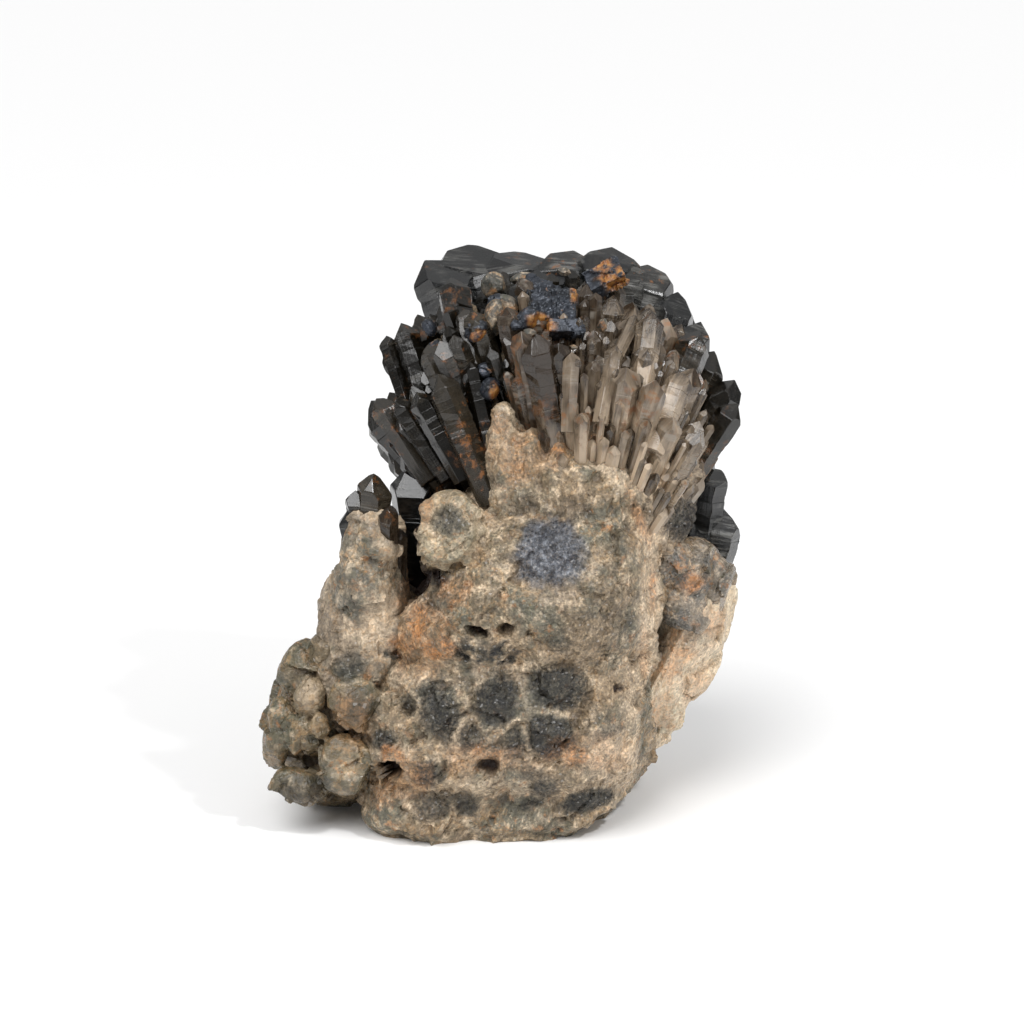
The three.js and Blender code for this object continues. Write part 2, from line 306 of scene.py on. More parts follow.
def settle(bm, target, place, length, chance, milk, level, detail):
    """Maps a finished crystal, moves it to its place and adds it to a bmesh of its family."""
    growth = bm.loops.layers.uv["growth"]
    kept = bm.verts.layers.float_color["kept"]
    for face in bm.faces:
        middle = face.calc_center_median()
        side = round(math.atan2(middle.y, middle.x) / (math.pi / 3)) * math.pi / 3
        across = Vector((-math.sin(side), math.cos(side), 0))
        for loop in face.loops:
            co = loop.vert.co
            loop[growth].uv = (co.dot(across) + 40 * chance + side * 7, co.z + 90 * chance)
    heights = [v.co.z / length for v in bm.verts]
    bmesh.ops.transform(bm, matrix=place, verts=bm.verts)
    if milk is None:
        white = milkiness(np.array([v.co for v in bm.verts]), chance)
    else:
        white = [mix(milk[0], milk[1], height) for height in heights]
    for v, w, height in zip(bm.verts, white, heights):
        v[kept] = (w, height, chance, 1)
    if level:
        tip = place @ Vector((0, 0, length))
        slant = Vector((0.4 * (detail() - 0.5), -0.1 - 0.3 * detail(), 1)).normalized()
        cut_by(bm, Vector((tip.x, tip.y - 4, level)), slant)
        for face in bm.faces:
            if all(loop[growth].uv.length < 1e-6 for loop in face.loops):
                for loop in face.loops:
                    loop[growth].uv = (loop.vert.co.x, 1.6 * loop.vert.co.y + 90 * chance)
                    loop.vert[kept] = (0, 1, chance, 1)
    bmesh.ops.recalc_face_normals(bm, faces=bm.faces)
    pour(bm, target)


SLIMMEST_WITH_HEART = 1.3
SLIMMEST_WITH_STEPS = 2.4
# A heart is cut this far below the level at which its crystal is broken off.
HEART_BELOW = 4


def grow(family, root, along, length, half, draw, detail, every=1, milk=None, heart=0.8, wide=1.0, level=0):
    """Grows one crystal, and a milky heart inside it, into its family."""
    bm, roll = pointed_prism(length, half, draw, every)
    if half > SLIMMEST_WITH_STEPS:
        add_growth_steps(bm, length, half, detail)
        soften(bm, 0.05 + 0.02 * half)
    else:
        add_ring(bm, 0.5 * length)
        add_ring(bm, 0.75 * length)
    chance = detail()
    place = Matrix.Translation(root) @ Vector((0, 0, 1)).rotation_difference(along).to_matrix().to_4x4()
    place = place @ Matrix.Diagonal((wide, 1, 1, 1)) @ Matrix.Rotation(roll, 4, "Z")
    settle(bm, family["shell"], place, length, chance, milk, level, detail)
    if half > SLIMMEST_WITH_HEART:
        tall = length - (1.1 + 2.2 * detail()) * half
        inner, _ = pointed_prism(tall, half * heart, make_random(int(chance * 100000)), 2)
        for share in (0.4, 0.6, 0.8):
            add_ring(inner, share * tall)
        settle(inner, family["heart"], place, length, chance, milk, level - HEART_BELOW if level else 0,
               detail)


def grow_in_spray(family, spray, along, reach, half, body_length, draw, detail, every=1, **looks):
    """Grows a crystal whose tip is so far from the spray's centre."""
    start = max(NEAREST_ROOT, reach - body_length)
    root = Vector(spray["centre"]) + along * start
    grow(family, root, along, reach - start, half, draw, detail, every, **looks)


# %% [markdown]
# ## The fan's leading crystals
# The crystals that shape the outline and the front of the fan are placed one by one, because chance
# would not give this outline. Most rows hold the lean, the swing, the reach and the half width of
# one crystal. Some at the rim also have how much broader they are one way, and the level at which
# they are broken off, or 0.

# %% Crystals of the fan placed one by one
RIM = [(-20, 6, 109, 8.5, 1.0, 133.5), (-15, 10, 112, 10, 1.3, 135.8), (-9, 9, 108, 9.5, 1.3, 135),
       (-5, 4, 100, 6, 1.2, 132), (-1, 7, 104, 8, 1.3, 135.6), (5, 6, 104, 8.5, 1.2, 136.8),
       (8, 3, 97, 5), (11, 6, 101, 7, 1.1, 132.4), (16, 4, 94, 6.5), (19, 8, 92, 7.5, 0.9, 0),
       (21, 2, 88, 7, 0.8, 0)]
LEFT_EDGE = [(-26, 0, 93, 3.5), (-27, -4, 91, 4.5), (-32, -4, 90, 4.5), (-30, 4, 91, 4), (-40, -6, 81, 5.5),
             (-42, 0, 79, 4), (-43, 5, 74, 4), (-44, -2, 69, 3.5), (-46, 2, 64, 3.5)]
RIGHT_EDGE = [(21, -6, 84, 5), (25, -4, 82, 5), (30, -6, 78, 5), (33, -12, 74, 3.8), (34, -4, 61, 4),
              (36, 0, 56, 4)]
INNER = [(22, -20, 79, 3.6), (15, -10, 86, 4), (12, -14, 88, 3.5), (18, -14, 80, 4), (-27, -15, 74, 3.2),
         (-24, -10, 85, 3), (-21, -4, 92, 5), (-19, -10, 87, 3.5), (-16, -12, 88, 4), (-13, -6, 90, 5),
         (-33, -14, 67, 4), (-34, -8, 76, 4), (-38, -4, 74, 4), (-9, -8, 94, 6), (-5, -8, 92, 7),
         (-1, -6, 90, 5), (-9, -22, 81, 3.8), (2, -4, 93, 6), (6, -8, 89, 4), (9, -8, 88, 4),
         (4, -14, 82, 3.5)]
CREST = [(-17, -20, 67, 4.2), (-14, -24, 64, 3.6), (-20, -20, 59, 3.2), (-11, -26, 58, 3.2)]
# From root to tip, at most, for each kind of crystal.
BODY_LENGTH = {"edge": 60, "inner": 50, "crest": 24, "row": 56, "wing": 22, "foot": 26, "needle": 24}
SMOKIEST_LEAN = -12


def grow_placed(left, right, rows, kind, seed, **looks):
    """Crystals that lean far to the left are smokier, so they go to another family."""
    draw, detail = chances(seed)
    for lean, swing, reach, half, *broken in rows:
        wide, level = broken or (1, 0)
        family = left if lean < SMOKIEST_LEAN else right
        grow_in_spray(family, FAN, direction(lean, swing, FAN), reach, half, BODY_LENGTH[kind], draw, detail,
                      wide=wide, level=level, **looks)


# %% Crystals placed by root and tip
# Tip, root, half width and, on a crystal that is broken off level, the height of the break. These
# stand at the column, in the recess beside it and behind the wing.
COLUMN_POINT = [((-32.9, -16, 92), (-36.5, -12, 62), 4.7), ((-38, -15, 87.5), (-36.5, -12, 62), 3.3)]
SINGLES = [((-39, -15, 84), (-37, -14, 62), 4.5), ((-24.2, -3, 92.5), (-22, 4, 50), 7.3),
           ((50.4, 11, 92), (46, 9, 50), 5.6, 83.2), ((54, 11, 76), (48, 8, 44), 5.6),
           ((45, -1, 76), (38, 4, 40), 6)]
SLIM_SINGLES = [((-30, -24, 85), (-30, -13, 62), 2.6), ((-27.5, -19, 79), (-28, -12, 58), 2.2)]
# The shafts at the fan's front: here tip and root are millimetres right, up and behind the aim.
DARK_SHAFTS = [((-15, 58.5, -2), (-9.5, 27, -16), 4.6), ((-12, 50.7, -13), (-8, 28, -22), 2.8),
               ((-27.5, 47.5, -3), (-16, 12, -12), 3.6), ((-31.5, 44, 0), (-22, 15, -6), 2.8),
               ((-18.7, 34.5, -23), (-5, 2, -23), 4.4), ((-10.5, 38, -21), (-4, 9, -23), 2.9),
               ((-24, 30, -19), (-12, 8, -18), 3.4), ((-33.7, 28.7, -5), (-20, 7.5, -10), 4.0),
               ((-29, 28.5, -12), (-16, 8, -14), 3.2), ((-21.5, 41.7, -13), (-10, 15, -20), 3.2),
               ((47, 45.5, -5), (38, 23, -12), 4.8), ((2.2, 57.5, -9), (0.5, 44, -16), 3.2),
               ((5.4, 56, -13), (4, 42, -20), 2.4)]
BROWN_SHAFTS = [((35, 50.2, -19), (31, 23, -27), 3.6), ((43, 35, -21), (35, 15, -26), 3.8),
                ((31, 49, -17), (25, 36, -26), 1.8), ((26, 42, -28), (22, 22, -32), 2.6),
                ((15, 40, -34), (14, 20, -34), 2.4)]
# These are smoky at the tip and milky at the root.
SMOKY_SHAFTS = [((5.5, 44.7, -37), (12.5, 8, -22), 4.3), ((-30.6, 1.5, -24), (-30, -16, -9), 2.2)]
MILKY_ROOT = (1.1, -0.7)


def grow_between(family, rows, seed, milk=None, in_the_view=False):
    """Crystals from one place to another."""
    draw, detail = chances(seed)
    for tip, root, half, *level in rows:
        tip, root = (at_view(*tip), at_view(*root)) if in_the_view else (Vector(tip), Vector(root))
        along = tip - root
        grow(family, root, along.normalized(), along.length, half, draw, detail, milk=milk, heart=0.86,
             level=level[0] if level else 0)


# %% Grow the placed crystals
dark, pale, clear, rim = new_family(), new_family(), new_family(), new_family()
grow_placed(rim, rim, RIM, "edge", 11, heart=0.88)
grow_between(dark, DARK_SHAFTS, 21, in_the_view=True)
grow_between(pale, BROWN_SHAFTS, 29, in_the_view=True)
grow_between(pale, SMOKY_SHAFTS, 24, MILKY_ROOT, in_the_view=True)
grow_placed(dark, dark, LEFT_EDGE, "edge", 12, heart=0.88)
grow_placed(dark, dark, RIGHT_EDGE, "edge", 13)
grow_placed(dark, pale, INNER, "inner", 14)
grow_placed(pale, pale, CREST, "crest", 15, milk=(0.9, 0.9))
grow_between(rim, SINGLES, 19, (0, 0))
grow_between(dark, COLUMN_POINT, 25, (0.7, 0))
grow_between(pale, SLIM_SINGLES, 23, (0.3, 0.3))

# %% [markdown]
# ## Rows across the fan, and a coat of stout crystals
# The other stout crystals are many and alike, so loops place them: rows across the fan's front and
# back, and points spread evenly over the lower back, with small ones between the stout ones.

# %% Rows across the fan
# Swing, first and last lean, step, share of the fan's reach, half width, and 2 where only every
# second face of a point is cut.
ROWS = [(-31, -10, 33, 6.4, 0.86, 3.4, 2), (-20, -32, 35, 6.6, 0.86, 3.0, 2), (21, -34, 34, 13, 0.88, 8, 1),
        (36, -30, 34, 15, 0.75, 8.5, 1), (51, -34, 40, 18, 0.65, 9, 1), (66, -50, 60, 28, 0.57, 9.5, 1)]
# The rows at the back are this much less regular than those at the front.
LOOSE_AT_BACK = 2.4


def grow_rows(side, front, back, seed):
    draw, detail = chances(seed)
    for swing, lean, last, step, share, wide, every in ROWS:
        loose = LOOSE_AT_BACK if swing > 0 else 1
        while lean <= last:
            lean_here = lean + 3 * loose * (draw() - 0.5)
            swing_here = swing + 5 * loose * (draw() - 0.5)
            longer = 1 + 0.1 * loose * (draw() - 0.5)
            reach = reach_at(FAN_REACH, lean_here) * share * longer
            half = wide * (1 + 0.4 * loose * (draw() - 0.5))
            along = direction(lean_here, swing_here, FAN)
            family = front if lean_here > SMOKIEST_LEAN else side
            family = back if swing_here > 0 else family
            grow_in_spray(family, FAN, along, reach, half, BODY_LENGTH["row"], draw, detail, every)
            lean += step


# %% A coat over the lower back
# Half sizes of the rounded form that the tips reach.
COAT_REACH = (41, 52, 46)


def grow_foot(family, seed, count, size):
    """Crystals at even places on a ball, and only on its back and its middle heights."""
    draw, detail = chances(seed)
    golden = math.pi * (3 - math.sqrt(5))
    for i in range(count):
        y = 1 - 2 * (i + 0.5) / count
        ring = math.sqrt(1 - y * y)
        along = Vector((ring * math.cos(i * golden) + 0.3 * (draw() - 0.5), y + 0.3 * (draw() - 0.5),
                        ring * math.sin(i * golden) + 0.3 * (draw() - 0.5))).normalized()
        longer = 1 - 0.14 * draw()
        half = size * (0.5 + 0.9 * draw())
        if along.y < 0.1 or along.z < -0.5 or along.z > 0.5:
            continue
        reach = longer / Vector([c / size_here for c, size_here in zip(along, COAT_REACH)]).length
        grow_in_spray(family, FOOT, along, reach, half, BODY_LENGTH["foot"], draw, detail, milk=(0.15, 0.15))


grow_rows(dark, pale, clear, 16)
grow_foot(clear, 18, 96, 7.6)
grow_foot(clear, 28, 210, 3.6)

# %% [markdown]
# ## Needles
# Between the leading crystals, the fan's front is packed with slim ones, side by side. They start
# inside the rock and each row swings further forward and stops sooner, so the front is stepped.

# %% Slim crystals on the fan's front
# Swing, lowest and highest lean, how many, least and greatest share of the fan's reach, half width.
NEEDLE_ROWS = [(-38, -4, 33, 18, 0.62, 0.76, 1.6), (-32, -5, 34, 44, 0.62, 0.84, 1.2),
               (-24, -8, 34, 40, 0.7, 0.9, 1.3), (-34, -10, 34, 26, 0.64, 0.80, 1.7),
               (-30, -14, 34, 34, 0.68, 0.84, 1.8), (-26, -18, 35, 40, 0.73, 0.87, 1.9),
               (-21, -26, 36, 52, 0.75, 0.89, 2.1), (-16, -42, 36, 60, 0.78, 0.92, 2.3),
               (-11, -43, 36, 56, 0.82, 0.94, 2.5), (-5, -44, 36, 44, 0.86, 0.95, 2.8),
               (1, -44, 36, 40, 0.87, 0.96, 3.2)]
FOREMOST_SMOKY = -30


def grow_needles(left, right, seed):
    """Those that lean left are smoky and some are missing, except in the foremost rows."""
    draw, detail = chances(seed)
    for swing, low, high, count, short, tall, half in NEEDLE_ROWS:
        for i in range(count):
            lean_here = mix(low, high, (i + 0.8 * (draw() - 0.5)) / (count - 1))
            swing_here = swing + 5 * (draw() - 0.5)
            reach = reach_at(FAN_REACH, lean_here) * mix(short, tall, draw())
            width = half * (0.5 + 0.7 * draw())
            along = direction(lean_here + 2 * (draw() - 0.5), swing_here, FAN)
            smoky = lean_here < SMOKIEST_LEAN - 5 + 10 * draw() + ease(-16, -2, swing_here) * 14
            smoky = smoky and swing_here > FOREMOST_SMOKY
            if smoky and draw() < 0.25:
                continue
            grow_in_spray(left if smoky else right, FAN, along, reach, width * (1.1 if smoky else 1),
                          BODY_LENGTH["needle"], draw, detail)


slim = new_family()
grow_needles(dark, slim, 31)

# %% [markdown]
# ## The massive quartz
# The body is a rough rock with ledges, lobes and hollows. Pushing one sphere about would stretch
# its faces, so the mass is laid out with simple closed shapes instead: a trunk of level rings and a
# few rounded lumps. A voxel remesh then fuses them into one even skin.

# %% The trunk and its lumps
# Height, then the ring's left and right and its front and back.
TRUNK = [(-6, (-27, 20), (-16, 24)), (0, (-31, 26), (-22, 27)), (6, (-37, 33), (-28, 32)),
         (12, (-40, 36.5), (-28, 36)), (19, (-42, 37), (-33, 38)), (31, (-42, 36), (-34, 40)),
         (41, (-37, 37), (-32, 42)), (46, (-33, 37), (-31, 42)), (53, (-30, 37), (-34, 42)),
         (65, (-25, 37), (-35, 42)), (77, (-19, 38), (-32, 40)), (88, (-9, 39), (-26, 38)),
         (99, (-10, 40), (-18, 34)), (110, (-18, 40), (-11, 32)), (118, (-20, 38), (-3, 30)),
         (124, (-12, 34), (6, 26))]
TRUNK_SIDES = 64
# Below 1, the rings are fuller than an ellipse.
TRUNK_FULLNESS = 0.68
CREASE_SWAY = 2.5


def wave(x, y, z):
    """A smooth and uneven value from -1 to 1."""
    return (math.sin(3.1 * x + 2.3 * y - 1.1 * z) + math.sin(2.7 * y - 3.9 * z + 1.7 * x + 1.3)
            + math.sin(3.3 * z + 3.9 * x - 2.1 * y + 2.6)) / 3


def add_trunk(bm):
    """One closed form through the level rings of the table."""
    rows = len(TRUNK) - 1
    bmesh.ops.create_cone(bm, cap_ends=True, segments=TRUNK_SIDES, radius1=1, radius2=1, depth=rows,
                          matrix=Matrix.Translation((0, 0, rows / 2)))
    for level in range(1, rows):
        add_ring(bm, level)
    for v in bm.verts:
        z, (left, right), (front, back) = TRUNK[round(v.co.z)]
        fuller = [math.copysign(abs(c) ** TRUNK_FULLNESS, c) for c in (v.co.x, v.co.y)]
        rise = CREASE_SWAY * wave(v.co.x, v.co.y, z / 40)
        v.co = ((left + right) / 2 + (right - left) / 2 * fuller[0],
                (front + back) / 2 + (back - front) / 2 * fuller[1], z + rise)


def add_lump(bm, at, half, turn=0, cuts=0, draw=None, deepest=0.72):
    """A rounded lump, with a few flats where it broke along its cleavage."""
    lump = bmesh.new()
    bmesh.ops.create_icosphere(lump, subdivisions=4, radius=1)
    for _ in range(cuts):
        normal = Vector((draw() - 0.5, draw() - 0.5, draw() - 0.5)).normalized()
        cut_by(lump, normal * mix(deepest, 0.92, draw()), normal)
    place = Matrix.Translation(at) @ Matrix.Rotation(math.radians(turn), 4, "Y")
    place = place @ Matrix.Diagonal((*half, 1))
    bmesh.ops.transform(lump, matrix=place, verts=lump.verts)
    pour(lump, bm)


def remeshed(bm, voxel):
    """One even, closed skin round everything in the bmesh."""
    rough = add_object("rough_out", bm)
    mesh = rough.data
    skin = rough.modifiers.new("skin", "REMESH")
    skin.mode = "VOXEL"
    skin.voxel_size = voxel
    ready = rough.evaluated_get(bpy.context.evaluated_depsgraph_get())
    result = bmesh.new()
    result.from_mesh(ready.to_mesh())
    bpy.data.objects.remove(rough)
    bpy.data.meshes.remove(mesh)
    return result


def smooth_all(bm, rounds):
    for _ in range(rounds):
        bmesh.ops.smooth_vert(bm, verts=bm.verts, factor=0.5, use_axis_x=True, use_axis_y=True,
                              use_axis_z=True)


# %% The body
# Middle, half sizes and turn in degrees. Those with small sizes are the crest in front of the fan.
LUMPS = [((12, 20, 64), (34, 20, 36), 0), ((2, -15, 90), (8.5, 10, 16), -6),
         ((-1.6, -20, 94), (4.6, 7, 16), -3), ((3.6, -21.5, 91), (4.6, 7, 13.5), 4),
         ((9, -21.5, 89), (5, 7.5, 13.5), 8), ((14.5, -21, 88), (6, 8, 13), 10),
         ((21.5, -19.5, 86.5), (7, 8.5, 12), 12), ((29, -17, 84), (7, 8, 11), 14),
         ((33.8, -13.5, 57), (3.4, 7, 19), 2), ((-14, 10, 62), (12, 13, 20), -6),
         ((-20, -15, 7), (18, 14, 12), 0)]

body = bmesh.new()
add_trunk(body)
for at, half, turn in LUMPS:
    add_lump(body, at, half, turn)
body = remeshed(body, 0.85)
smooth_all(body, 1)

# %% [markdown]
# ## Lobes, column, knob and wing
# The lobes at the left, the column, the knob beside the crest and the wing at the right differ in
# grain and colour from the body, and real creases part them. Each is a piece of its own that
# reaches into the body, because one remesh for all would blur the creases.

# %% Smaller masses
def mass(lumps, voxel, seed, cuts=4, deepest=0.72):
    """Lumps with flats, fused into one skin."""
    bm = bmesh.new()
    draw = make_random(seed)
    for at, half, turn in lumps:
        add_lump(bm, at, half, turn, cuts, draw, deepest)
    return remeshed(bm, voxel)


LEFT_LOBES = [((-49, -1, 26), (12.6, 15, 19.5), 16), ((-45, -2, 12), (13, 14, 12), 0),
              ((-44, -3, 36), (9, 13, 12), 0)]
# Right, up and depth of the angular lumps on them, then half sizes and turn.
ANGULAR_LUMPS = [((-50.5, -40, -1), (7.4, 6.5, 8.6), 24), ((-46.5, -34, -6), (4.6, 5, 5.2), 30),
                 ((-50.5, -45, -6), (4.4, 4, 6.6), 8), ((-41, -38.5, -8), (5.2, 4.5, 4.4), -20),
                 ((-38.5, -48, -9), (7.8, 6.5, 8.2), 10), ((-48.3, -53.5, -8), (2.8, 3, 3.4), -12),
                 ((-52.3, -56.4, -4), (4.5, 4.5, 6), 5), ((-41.5, -63, -7), (7.4, 6.5, 7.6), 0),
                 ((-59, -56, 0), (4.6, 5.5, 10), 8), ((-52, -68.5, -1), (8.2, 6.5, 5.4), 4)]
COLUMN = [((-37, -12, 51), (11, 14, 27), 8), ((-35.5, -14, 66), (8.5, 11, 18), 3),
          ((-33, -14, 74), (7, 10, 10), 0)]
ROOTS = [((19, -2, 90), (22, 20.5, 31), 0), ((33, -2, 81), (12, 17.5, 24), 16),
         ((6, -3, 90), (12, 19.5, 22), -10)]
WING_TOP = [((44.5, -5, 62), (9.4, 9, 10.5), 10), ((39, -8, 67), (7, 7, 7.5), 30),
            ((49.5, -3, 59), (7, 7.5, 10), 0), ((43, -9, 56), (7.5, 6, 7), 40)]

LEFT_LOBES += [(at_view(*at), half, turn) for at, half, turn in ANGULAR_LUMPS]
lobes = mass(LEFT_LOBES, 0.65, 41, cuts=8, deepest=0.66)
wing_top = mass(WING_TOP, 0.45, 46, cuts=12, deepest=0.62)
column = mass(COLUMN, 0.7, 42, cuts=6)
root = mass(ROOTS, 0.6, 45, cuts=0)


# %% The knob
KNOB_MIDDLE = Vector((-15.5, -22, 80))
KNOB_LUMPS = 11


def make_knob():
    """A broken-off crystal bundle: a disc with a flat face and a scalloped edge."""
    bm = bmesh.new()
    draw = make_random(43)
    disc = bmesh.new()
    bmesh.ops.create_icosphere(disc, subdivisions=4, radius=1)
    cut_by(disc, Vector((0, -0.62, 0)), Vector((-0.15, -1, 0.2)).normalized())
    place = Matrix.Translation(KNOB_MIDDLE) @ Matrix.Diagonal((8.6, 14, 8.4, 1))
    bmesh.ops.transform(disc, matrix=place, verts=disc.verts)
    pour(disc, bm)
    for k in range(KNOB_LUMPS):
        turn = 2 * math.pi * (k + 0.5 * draw()) / KNOB_LUMPS
        at = (KNOB_MIDDLE.x + 7.6 * math.cos(turn), KNOB_MIDDLE.y - 4 - 2 * draw(),
              KNOB_MIDDLE.z + 7.4 * math.sin(turn))
        add_lump(bm, at, (1.8 + draw(), 3, 1.8 + draw()), 0, 2, draw)
    return remeshed(bm, 0.5)


knob = make_knob()

# %% The wing
WING_ROOT = [((40, 2, 43), (11, 17, 25), 26), ((43.7, 2, 43), (10.4, 14.5, 24), 25)]


def grow_wing(family, seed):
    """Two rows of stout crystals, which are then fused with the wing's root."""
    draw, detail = chances(seed)
    lean = 12
    while lean <= 60:
        for swing in (-16, 12):
            lean_here = lean + 3 * (draw() - 0.5)
            swing_here = swing + 8 * (draw() - 0.5)
            reach = reach_at(WING_REACH, lean_here) * (1 - 0.08 * draw())
            half = 5 + 1.6 * draw()
            along = direction(lean_here, swing_here, WING)
            grow_in_spray(family, WING, along, reach, half, BODY_LENGTH["wing"], draw, detail, 2,
                          milk=(0.8, 0.8))
        lean += 7.5


fused = new_family()
grow_wing(fused, 20)
wing = fused["shell"]
fused["heart"].free()
for at, half, turn in WING_ROOT:
    add_lump(wing, at, half, turn, 10, make_random(44), 0.66)
wing = remeshed(wing, 0.6)
smooth_all(wing, 5)

# %% [markdown]
# ## Relief
# Broken quartz shows rounded swells, tilted chips and a fine grain. Displacement by one noise
# looks like dough, so three kinds are added: a slow fractal for the swells, Voronoi cells that
# each tilt their own way for the chips, and a fine fractal for the grain. Near a growth centre the
# noise is stretched away from it, which gives the fibres that run up into the crystals.

# %% Push the points of a mass in and out
def chip(p, size, slope):
    """Height of a place on a field of flat chips, each tilted its own way."""
    _, cells = noise.voronoi(p / size)
    tilt = noise.cell_vector(cells[0] * 7.31 + Vector((3.3, 1.7, 9.1))) - Vector((0.5, 0.5, 0.5))
    return (p / size - cells[0]).dot(tilt) * size * slope


def fibres(p, centre, across, along):
    """Sharp-backed ribs that run away from a centre."""
    away = p - Vector(centre)
    reach = away.length
    n = noise.noise(away.normalized() * (40 / across) + Vector((0, 0, reach / along)))
    return 0.6 - 2.2 * abs(n)


SWELL, CHIP, SMALL_CHIP, GRAIN = 22, 9, 3.8, 1.7
RIB_LENGTH, FINE_RIB_LENGTH = 40, 25


def relieve(bm, swell, chips, small_chips, grain, ribs=0.0, centre=FAN["centre"], across=3.2, rib_mask=None,
            fine=0.3, calm=None):
    """Moves each point along its normal; the first numbers are heights in millimetres."""
    bm.normal_update()
    for v in bm.verts:
        p = v.co.copy()
        h = swell * noise.fractal(p / SWELL, 0.9, 2.1, 3)
        h += chips * chip(p, CHIP, 0.5) + small_chips * chip(p + Vector((5, 2, 8)), SMALL_CHIP, 0.55)
        if calm:
            h *= 1 - 0.7 * calm(p)
        h += grain * noise.fractal(p / GRAIN, 0.7, 2.2, 1)
        if ribs:
            share = rib_mask(p) if rib_mask else 1.0
            if share > 0:
                h += share * ribs * fibres(p, centre, across, RIB_LENGTH)
                if fine:
                    h += fine * share * ribs * fibres(p, centre, across / 2.3, FINE_RIB_LENGTH)
        v.co = p + v.normal * h


# %% Relief on each mass
COLUMN_FIBRES, WING_FIBRES = (-34, -12, -30), (36, 0, -10)


def near_fan(p):
    """1 among the fibres below the fan, and 0 away from them."""
    away = p - Vector(FAN["centre"])
    return float(ease(26, 42, away.z) * ease(36, 48, away.length))


BLUE_PLACE = at_view(9.75, -10.25, -29)


def calm_place(p):
    """Where the relief is low: among the fibres, and on the large round spot."""
    return max(near_fan(p), float(fade(7, 13, (p - BLUE_PLACE).length)))


relieve(body, 2.4, 0.8, 0.75, 0.10, ribs=1.2, across=2.8, rib_mask=near_fan, calm=calm_place)
relieve(root, 1.2, 0.3, 0.2, 0.05, ribs=1.8, across=2.4)
relieve(lobes, 1.1, 0.7, 0.25, 0.0)
relieve(column, 1.8, 0.7, 0.4, 0.04, ribs=0.35, centre=COLUMN_FIBRES)
relieve(knob, 0.8, 0.4, 0.3, 0.08)
relieve(wing, 0.9, 0.5, 0.2, 0.0, ribs=0.9, centre=WING_FIBRES, across=4.2, fine=0.0)
relieve(wing_top, 0.3, 0.6, 0.1, 0.0)

# %% [markdown]
# ## Iron crust and rounded tips
# Iron washed over the top of the fan and left a dark, blocky crust with rust in its grooves, and
# round grains further down. A sculptor could carve it, but plates with a bevel and lumps with flats
# are quicker, and a remesh fuses them. A few tips nearby are worn round in the same way. A few
# more are small facets that stay apart.

# %% Crust, grains, rounded tips and small facets
# Right, up, depth, radius.
IRON_GRAINS = [(-5.5, 30.5, -23.8, 2.1), (-18.5, 40.5, -12, 2.0), (-16.2, 36.5, -17, 1.7),
               (-9, 45, -21, 2.6), (-12.5, 38.5, -21, 1.6), (-6.5, 35, -22, 1.6),
               (-20.5, 46, -8, 2.2), (-4, 52, -14, 2.4),
               (1.2, 46.8, -25, 2.2), (4.2, 48.6, -24, 2.4)]
# Right, up, depth, half sizes, and how far it is turned and leans back, in degrees.
IRON_PLATES = [(10.4, 50.2, -16.5, (5.2, 3.0, 7.2), 4, 52), (13.4, 45.6, -25.5, (4.2, 3.0, 1.9), 2, 20),
               (6.6, 54, -11, (3.4, 2.6, 5.0), 10, 50), (23.2, 58.4, -3, (5.0, 2.2, 3.7), -26, 40)]
ROUND_TIPS = [((-4.4, 56.6, -1), (3.4, 3.0, 3.6)), ((-4.4, 48.5, -18), (2.8, 3.2, 4.8)),
              ((-1.2, 50.5, -14), (3.2, 3, 4.4)), ((2.5, 58.5, 1), (3.2, 2.4, 1.7))]
# Right, up, depth, half width, half height, turn in degrees.
SMALL_FACETS = [(4.6, 44.9, -38, 1.8, 0.9, 6), (22.6, 46.6, -24.4, 1.4, 1.8, 30),
                (15.4, 41.2, -31, 1.1, 0.6, 0), (13, 60, -2, 1.9, 1.1, 4)]


def add_block(bm, middle, half, turn, tilt):
    """A block that faces the eye, turned and tilted, with bevelled edges."""
    block = bmesh.new()
    bmesh.ops.create_cube(block, size=2)
    bmesh.ops.transform(block, matrix=Matrix.Diagonal((*half, 1)), verts=block.verts)
    bmesh.ops.bevel(block, geom=block.edges[:], offset=0.18 * min(half), segments=2, profile=0.5,
                    affect="EDGES", material=-1, clamp_overlap=True)
    place = Matrix.Translation(middle) @ Matrix.Rotation(-ELEVATION, 4, "X")
    place = place @ Matrix.Rotation(math.radians(turn), 4, "Y") @ Matrix.Rotation(math.radians(tilt), 4, "X")
    bmesh.ops.transform(block, matrix=place, verts=block.verts)
    pour(block, bm)


def make_crust():
    bm = bmesh.new()
    draw = make_random(51)
    for right, up, depth, radius in IRON_GRAINS:
        half = [radius * (0.75 + 0.5 * draw()) for _ in range(3)]
        add_lump(bm, at_view(right, up, depth), half, 60 * draw(), 5, draw)
    for right, up, depth, half, turn, lean_back in IRON_PLATES:
        add_block(bm, at_view(right, up, depth), half, turn, -lean_back)
    return remeshed(bm, 0.4)


def make_tips():
    bm = bmesh.new()
    draw = make_random(52)
    for (right, up, depth), half in ROUND_TIPS:
        add_lump(bm, at_view(right, up, depth), half, 20 * (draw() - 0.5), 8, draw)
    bm = remeshed(bm, 0.4)
    for right, up, depth, wide, tall, turn in SMALL_FACETS:
        add_lump(bm, at_view(right, up, depth), (wide, 1.3, tall), turn, 9, draw, 0.5)
    return bm


crust, tips = make_crust(), make_tips()
CRUST_PLACE = at_view(*IRON_PLATES[0][:3])


def near_crust(p):
    return float(fade(8, 11, (p - CRUST_PLACE).length))


relieve(crust, 0.4, 0.5, 0.25, 0.1, ribs=0.9, across=0.8, rib_mask=near_crust, fine=0)

